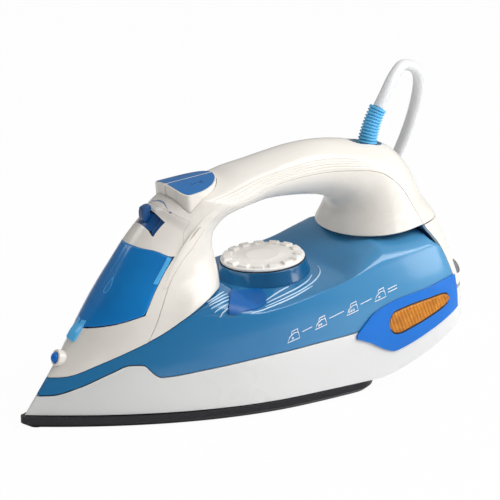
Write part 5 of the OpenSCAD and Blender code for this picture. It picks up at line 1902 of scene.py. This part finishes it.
@dataclass
class Shells:
    """The big moulded shells: skirt, rear cover, tank, nose panel and the two handle shells."""

    dress: Dressing
    form: BodyForm
    handle: HandleForm
    wall: float = 2.0

    def skirt(self) -> None:
        """Makes the white skirt round the hot sole."""
        form = self.form
        stops = refine([10.2, 12, 17, 47, 58, 64, 68.4, 72.4, 98, 240, 284, 291], 2.2)
        xs = [10.0, 10.05, 10.3, 10.8, *[x for x in stops if x > 11.2]]

        def place(u: float, v: float) -> Vector:
            """Gives the skirt's point at signed column u and height share v."""
            x_top = xs[int(abs(u))]
            z_top = form.skirt_line(x_top)
            nose = form.nose_x(z_top)
            f = clamp((x_top - nose) / (form.heel_x(z_top) - nose), 0.0, 1.0)
            if int(abs(u)) == 0:
                f = 0.0
            under = form.underside(mix(form.nose_x(24), form.heel_x(24), f))
            z = mix(under, z_top, v)
            x = mix(form.nose_x(z), form.heel_x(z), f)
            side = FAR if u > 0 else NEAR
            y = 0.0 if f in (0.0, 1.0) else form.half_w(x, z)
            return at(x, side * y, z)

        last = len(xs) - 1
        bm = patch(both_ways(numbers(last)), steps(0, 1, 22), place)
        bmesh.ops.remove_doubles(bm, verts=bm.verts, dist=0.05 * MM)
        draw_back(bm, 0.2)
        self.dress.piece(
            "skirt_shell", bm, Finishes.SKIRT, nodes=["skirt"], slot="white_plastic",
            wall=self.wall, edge=0.45, middle=at(150, 0, 20),
        )

    def rear_cover(self) -> None:
        """Makes the white cover over the heel."""
        form, foot = self.form, self.handle.foot
        high_x = form.heel_x(96)

        def place(u: float, v: float) -> Vector:
            """Gives the cover's point at signed share u across and share v up."""
            f = math.sin(math.pi / 2 * abs(u))
            edge_x = mix(high_x, 258, f)
            top = mix(foot[1], 96, (edge_x - foot[0]) / (high_x - foot[0])) - 0.5
            z = mix(53.2, top, v)
            x = mix(form.heel_x(z), form.tank_rear(z) + 0.7, f)
            side = FAR if u > 0 else NEAR
            return at(x, 0.0 if u == 0 else side * form.half_w(x, z), z)

        bm = patch(steps(-1, 1, 90), steps(0, 1, 26), place)
        draw_back(bm, 0.2)
        self.dress.piece(
            "heel_cover", bm, Finishes.WHITE_SHELL, nodes=["rear_cover"], slot="white_plastic",
            wall=self.wall, edge=0.45, middle=at(240, 0, 70),
        )

    def tank(self) -> None:
        """Makes the blue tank: its flanks above the skirt and the crown under the dial."""
        form = self.form

        def place(u: float, v: float) -> Vector:
            """Gives the tank's point at x = u and signed height v: 0 middle of the crown, 1 its
            edge, 2 the flank's foot."""
            side = FAR if v > 0 else NEAR
            w = abs(v)
            if w <= 1:
                p = form.crown_pt(u, 1 - w)
                return at(p.x, 0.0 if w == 0 else -side * p.y, p.z)
            top = form.flank_top(u)
            low = min(form.skirt_line(u) + 0.4, top - 0.2)
            z = mix(top, low, w - 1)
            return at(u, side * max(0.3, form.half_w(u, z)), z)

        stops = (11.0, 17, 47, 58, 64, 68.4, 72.4, 93, 104, 116, 126.9, 127.1, 134, 194, 203, 210)
        xs = refine([*stops, 222, 257, 274.5], 2.2)
        vs = refine([-2, -1, 0, 1, 2], 0.045)
        bm = patch(xs, vs, place)
        bmesh.ops.remove_doubles(bm, verts=bm.verts, dist=0.05 * MM)
        draw_back(bm, 0.1)
        # The tank's finish paints shade towards the toe and light towards the heel
        self.dress.piece(
            "water_tank", bm, Finishes.TANK, nodes=["tank"], slot="blue_translucent",
            wall=self.wall, edge=0.4, middle=at(150, 0, 30),
        )

    def nose_panel(self) -> None:
        """Makes the white panel on the nose with its door opening and lever window."""
        rows = refine([0, 0.5, 2, 3, 5, 6, 7, 8], 0.1)
        cols = both_ways(refine([0, 1, 2, 3, 4, 7], 0.25))

        def keep(s: float, v: float) -> bool:
            """Says where the panel is closed."""
            c = abs(v)
            if c > (7 if s < 3 else 4):
                return False
            return not (2 < s < 5 and c < 3) and not (6 < s < 7 and c < 2)

        def place(s: float, v: float) -> Vector:
            """Gives the panel's point, with the openings' edges bent to the door and lever."""
            return self.handle.place(*self.handle.bend(s, v))

        bm = patch(rows, cols, place, keep)
        draw_back(bm, 0.06)
        panel = self.dress.piece(
            "nose_shell", bm, Finishes.WHITE_SHELL, nodes=["nose_panel"], slot="white_plastic",
            wall=self.wall, edge=0.15, middle=NOSE_INSIDE,
        )
        self.dress.cut(panel, button_tool())
        ring = turned(((0, -12), (5.1, -12), (5.1, 8), (0, 8)), 48, False)
        bmesh.ops.transform(ring, matrix=NOZZLE_AXES, verts=ring.verts)
        self.dress.cut(panel, ring)

    def handle_top(self) -> None:
        """Makes the upper shell of the handle, with fine grooves along its sides."""
        rows = refine([3, 4, 5, 6, 7, 8, 25], 0.12)
        cols = both_ways(refine([0, 1, 2, 3, 4], 0.25)[:-1] + refine([4, 7], 0.06))
        length = Curve((9.5, 0), (11.5, 1), (17, 1), (20.5, 0))

        def keep(s: float, v: float) -> bool:
            """Says where the shell is closed."""
            return s > 8 or abs(v) > 4

        def place(s: float, v: float) -> Vector:
            """Gives the shell's point, sunk in the grooves."""
            across = (abs(v) - 3.9) / 2.4
            deep = 0.0
            if 0 < across < 1:
                deep = 0.45 * length(s) * (0.5 - 0.5 * math.cos(math.tau * 4 * across)) ** 2
            return self.handle.place(s, v, deep)

        bm = patch(rows, cols, place, keep)
        draw_back(bm, 0.08)
        shell = self.dress.piece(
            "grip_upper_shell", bm, Finishes.WHITE_SHELL, nodes=["handle_top"],
            slot="white_plastic", wall=self.wall, edge=0.15, middle=at(170, 0, 90),
        )
        self.dress.cut(shell, button_tool())
        slot = prism(stadium(26.0, 16.0), 125, 155)
        bmesh.ops.translate(slot, verts=slot.verts, vec=at(235, 0, 0))
        self.dress.cut(shell, slot)

    def handle_inner(self) -> None:
        """Makes the lower shell of the handle, round the finger gap."""
        rows = refine([0, 3, 25], 0.12)
        half = refine([7, 11], 0.16)
        cols = half[:-1] + [11.0] + [22 - c for c in reversed(half[:-1])]

        def place(s: float, v: float) -> Vector:
            """Gives the shell's point, going round by the inner line."""
            return self.handle.place(s, v if v <= 11 else -(22 - v))

        bm = patch(rows, cols, place)
        draw_back(bm, 0.25)
        face_out(bm, at(170, 0, 90))
        lean = sum(1 for f in bm.faces if f.calc_center_median().y * f.normal.y > 0)
        if lean < len(bm.faces) / 2:
            bmesh.ops.reverse_faces(bm, faces=bm.faces)
        self.dress.piece(
            "grip_lower_shell", bm, Finishes.WHITE_SHELL, nodes=["handle_inner"],
            slot="white_plastic", wall=self.wall, edge=0.45,
        )

    def tongues(self) -> None:
        """Makes the tongues under the seams of the handle and the nose panel, in a darker brown-grey
        that paints the shade seen in the seams.
        """
        parts = []
        for side in (NEAR, FAR):
            for rows, cols in (
                (refine([2.6, 25], 0.15), [6.7, 6.85, 7.0, 7.15, 7.3]),
                (refine([0, 8], 0.15), [3.85, 3.92, 4.0, 4.08, 4.15]),
            ):

                def place(s: float, c: float, side: int = side) -> Vector:
                    """Gives the tongue's point, just under the shells' faces."""
                    return self.handle.place(s, side * c, 0.45)

                parts.append(patch(rows, cols, place))
        front = patch(
            [7.9, 7.95, 8.05, 8.1], refine([-4, 4], 0.2),
            lambda s, v: self.handle.place(s, v, 0.45),
        )
        bm = joined([*parts, front])
        self.dress.piece(
            "seam_tongues", bm, Finishes.SEAM, slot="white_plastic", wall=0.5,
            middle=at(170, 0, 80),
        )

    def tank_wall(self) -> None:
        """Makes the tank's rear wall, that closes it under the handle's foot and the rear cover."""
        form = self.form

        def place(u: float, v: float) -> Vector:
            """Gives the wall's point at signed share u across and share v up."""
            z = mix(76, 94, v)
            x = form.tank_rear(z) + 0.1
            return at(x, u * (form.half_w(x, z) - 1.6), z)

        bm = patch(steps(-1, 1, 30), steps(0, 1, 8), place)
        self.dress.piece(
            "tank_rear_wall", bm, Finishes.TANK, slot="blue_translucent", wall=0.6,
            middle=at(300, 0, 85),
        )

    def scale(self) -> None:
        """Prints the steam scale behind the lever: a tapered arc and a dot."""
        arc = [(8.18, 0.75), (8.27, 0.34), (8.47, 0.1), (8.53, -0.2), (8.47, -0.55), (8.17, -1.13)]
        line = through([Vector((s, v, 0)) for s, v in arc], 6)
        last = len(line) - 1

        def place(u: float, v: float) -> Vector:
            """Gives the arc's point."""
            p = line[int(u)]
            wide = 0.085 * math.sin(math.pi * clamp(u / last, 0.03, 0.97)) ** 0.6
            return self.handle.place(p.x + v * wide, p.y, -0.06)

        parts = [patch(numbers(last), [-1.0, 1.0], place)]

        def dot(a: float, r: float) -> Vector:
            """Gives the dot's point."""
            s, v = 7.99 + 0.09 * r * math.sin(a), -1.5 + 0.14 * r * math.cos(a)
            return self.handle.place(s, v, -0.06)

        parts.append(patch(steps(0, math.tau, 20), [0.0, 1.0], dot))
        bm = joined(parts)
        self.dress.piece(
            "steam_scale", bm, Finishes.SCALE, slot="light_grey_plastic", wall=0.05,
            middle=NOSE_INSIDE,
        )

    def shutter(self) -> None:
        """Makes the dark shutter that fills the lever window's two ends."""

        def fill(s: float, v: float) -> Vector:
            """Gives the shutter's point, sunk behind the window."""
            return self.handle.place(*self.handle.bend(s, v), 1.3)

        rows, cols = refine([5.9, 7.1], 0.1), refine([-2.3, 2.3], 0.1)
        bm = patch(rows, cols, fill, lambda s, v: abs(v) > 1.25)
        self.dress.piece(
            "lever_shutter", bm, Finishes.NAVY, slot="navy_plastic", wall=0.6, middle=NOSE_INSIDE,
        )

    def build(self) -> None:
        """Makes every shell."""
        self.tongues()
        self.scale()
        self.shutter()
        self.tank_wall()
        self.skirt()
        self.rear_cover()
        self.tank()
        self.nose_panel()
        self.handle_top()
        self.handle_inner()


@dataclass
class Studio:
    """Camera, floor and soft light."""

    lens_mm: float = 158.30568
    sensor_mm: float = 36.0
    shift: tuple[float, float] = (0.0277, 0.04834)
    azimuth: float = -30.81
    elevation: float = 17.67
    distance: float = 1.32605
    aim_x: float = 145.0
    aim_z: float = 70.0
    floor_gap: float = 0.0004

    def camera(self) -> None:
        """Stands the camera a little above the near side of the toe."""
        a, e = math.radians(self.azimuth), math.radians(self.elevation)
        back = Vector((math.sin(a) * math.cos(e), -math.cos(a) * math.cos(e), math.sin(e)))
        data = bpy.data.cameras.new("camera")
        data.sensor_width = self.sensor_mm
        data.lens = self.lens_mm
        data.shift_x, data.shift_y = self.shift
        data.clip_start, data.clip_end = 0.05, 20.0
        camera = placed("camera", data)
        camera.location = at(self.aim_x, 0, self.aim_z) + back * self.distance
        camera.rotation_euler = (-back).to_track_quat("-Z", "Y").to_euler()
        bpy.context.scene.camera = camera

    def floor(self) -> None:
        """Lays a pale floor that keeps the shadow and turns white towards the camera."""
        bm = bmesh.new()
        bmesh.ops.create_circle(bm, cap_ends=True, segments=96, radius=4.0)
        mesh = bpy.data.meshes.new("studio_floor")
        bm.to_mesh(mesh)
        bm.free()
        floor = placed("studio_floor", mesh)
        floor.location.z = -self.floor_gap
        material = bpy.data.materials.new("studio_paper")
        material.use_nodes = True
        tree = material.node_tree
        shader = tree.nodes["Principled BSDF"]
        shader.inputs["Base Color"].default_value = hex_linear("#f2f2f2")
        shader.inputs["Roughness"].default_value = 0.9
        ray = add_node(tree, "ShaderNodeLightPath")
        white = add_node(tree, "ShaderNodeEmission", {"Strength": 1.0})
        share = add_node(
            tree, "ShaderNodeMath", {"operation": "MULTIPLY", 1: 0.97},
            {0: ray.outputs["Is Camera Ray"]},
        )
        blend = add_node(
            tree, "ShaderNodeMixShader", None,
            {0: share.outputs[0], 1: shader.outputs[0], 2: white.outputs[0]},
        )
        out = next(n for n in tree.nodes if n.type == "OUTPUT_MATERIAL")
        tree.links.new(blend.outputs[0], out.inputs["Surface"])
        mesh.materials.append(material)

    def sky(self) -> None:
        """Surrounds the scene with a light that is white to the eye and through clear parts, and
        elsewhere grows stronger upwards and towards +X.
        """
        world = bpy.data.worlds.new("studio_sky")
        world.use_nodes = True
        bpy.context.scene.world = world
        tree = world.node_tree
        tree.nodes.clear()
        ray = add_node(tree, "ShaderNodeLightPath")
        seen = add_node(
            tree, "ShaderNodeMath", {"operation": "MAXIMUM"},
            {0: ray.outputs["Is Camera Ray"], 1: ray.outputs["Is Transmission Ray"]},
        )
        place = add_node(tree, "ShaderNodeTexCoord")
        split = add_node(tree, "ShaderNodeSeparateXYZ", None, {0: place.outputs["Generated"]})
        rise = add_node(
            tree, "ShaderNodeMapRange",
            {"From Min": -0.2, "From Max": 0.9, "To Min": 0.22, "To Max": 0.64},
            {"Value": split.outputs["Z"]},
        )
        lean = add_node(
            tree, "ShaderNodeMapRange",
            {"From Min": -0.9, "From Max": 0.6, "To Min": 0.35, "To Max": 1.1},
            {"Value": split.outputs["X"]},
        )
        level = add_node(
            tree, "ShaderNodeMath", {"operation": "MULTIPLY"},
            {0: rise.outputs["Result"], 1: lean.outputs["Result"]},
        )
        strength = add_node(
            tree, "ShaderNodeMix", {"data_type": "FLOAT", 3: 1.0},
            {0: seen.outputs[0], 2: level.outputs[0]},
        )
        light = add_node(tree, "ShaderNodeBackground", None, {"Strength": strength.outputs[0]})
        add_node(tree, "ShaderNodeOutputWorld", None, {"Surface": light.outputs[0]})

    def lamp(self, name: str, place: tuple[float, float, float], size: float, power: float) -> None:
        """Hangs a square soft light that looks at the iron.

        Args:
            name: Name of the light.
            place: Where it hangs, in metres.
            size: Width of the light, in metres.
            power: Its power in watts.
        """
        data = bpy.data.lights.new(name, "AREA")
        data.size = size
        data.energy = power
        lamp = placed(name, data)
        lamp.location = place
        aim = Vector((0, 0, 0.07)) - Vector(place)
        lamp.rotation_euler = aim.to_track_quat("-Z", "Y").to_euler()

    def build(self) -> None:
        """Sets floor, sky and lamps."""
        self.floor()
        self.sky()
        self.lamp("top_softbox", (0.65, -1.05, 1.35), 1.2, 19)
        self.lamp("side_softbox", (1.5, -1.0, 0.7), 1.0, 10)
        self.lamp("ridge_strip", (-0.9, 0.9, 1.2), 0.6, 3.5)
        bpy.context.scene.view_settings.view_transform = "Standard"


def main() -> None:
    """Dresses the iron."""
    logging.basicConfig(level=logging.INFO, format="%(name)s: %(message)s")
    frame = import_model()
    dress = Dressing(frame)
    studio = Studio()
    studio.camera()
    form = BodyForm()
    handle = HandleForm(form)
    Mains(dress).build()
    Sole(dress, form).build()
    Shells(dress, form, handle).build()
    Nose(dress, handle).build()
    Lever(dress).build()
    Buttons(dress).build()
    Dial(dress, form).build()
    Flanks(dress, form).build()
    dress.paint_rest()
    studio.build()
    LOG.info("%d pieces made", len(dress.made))


if __name__ == "__main__":
    main()
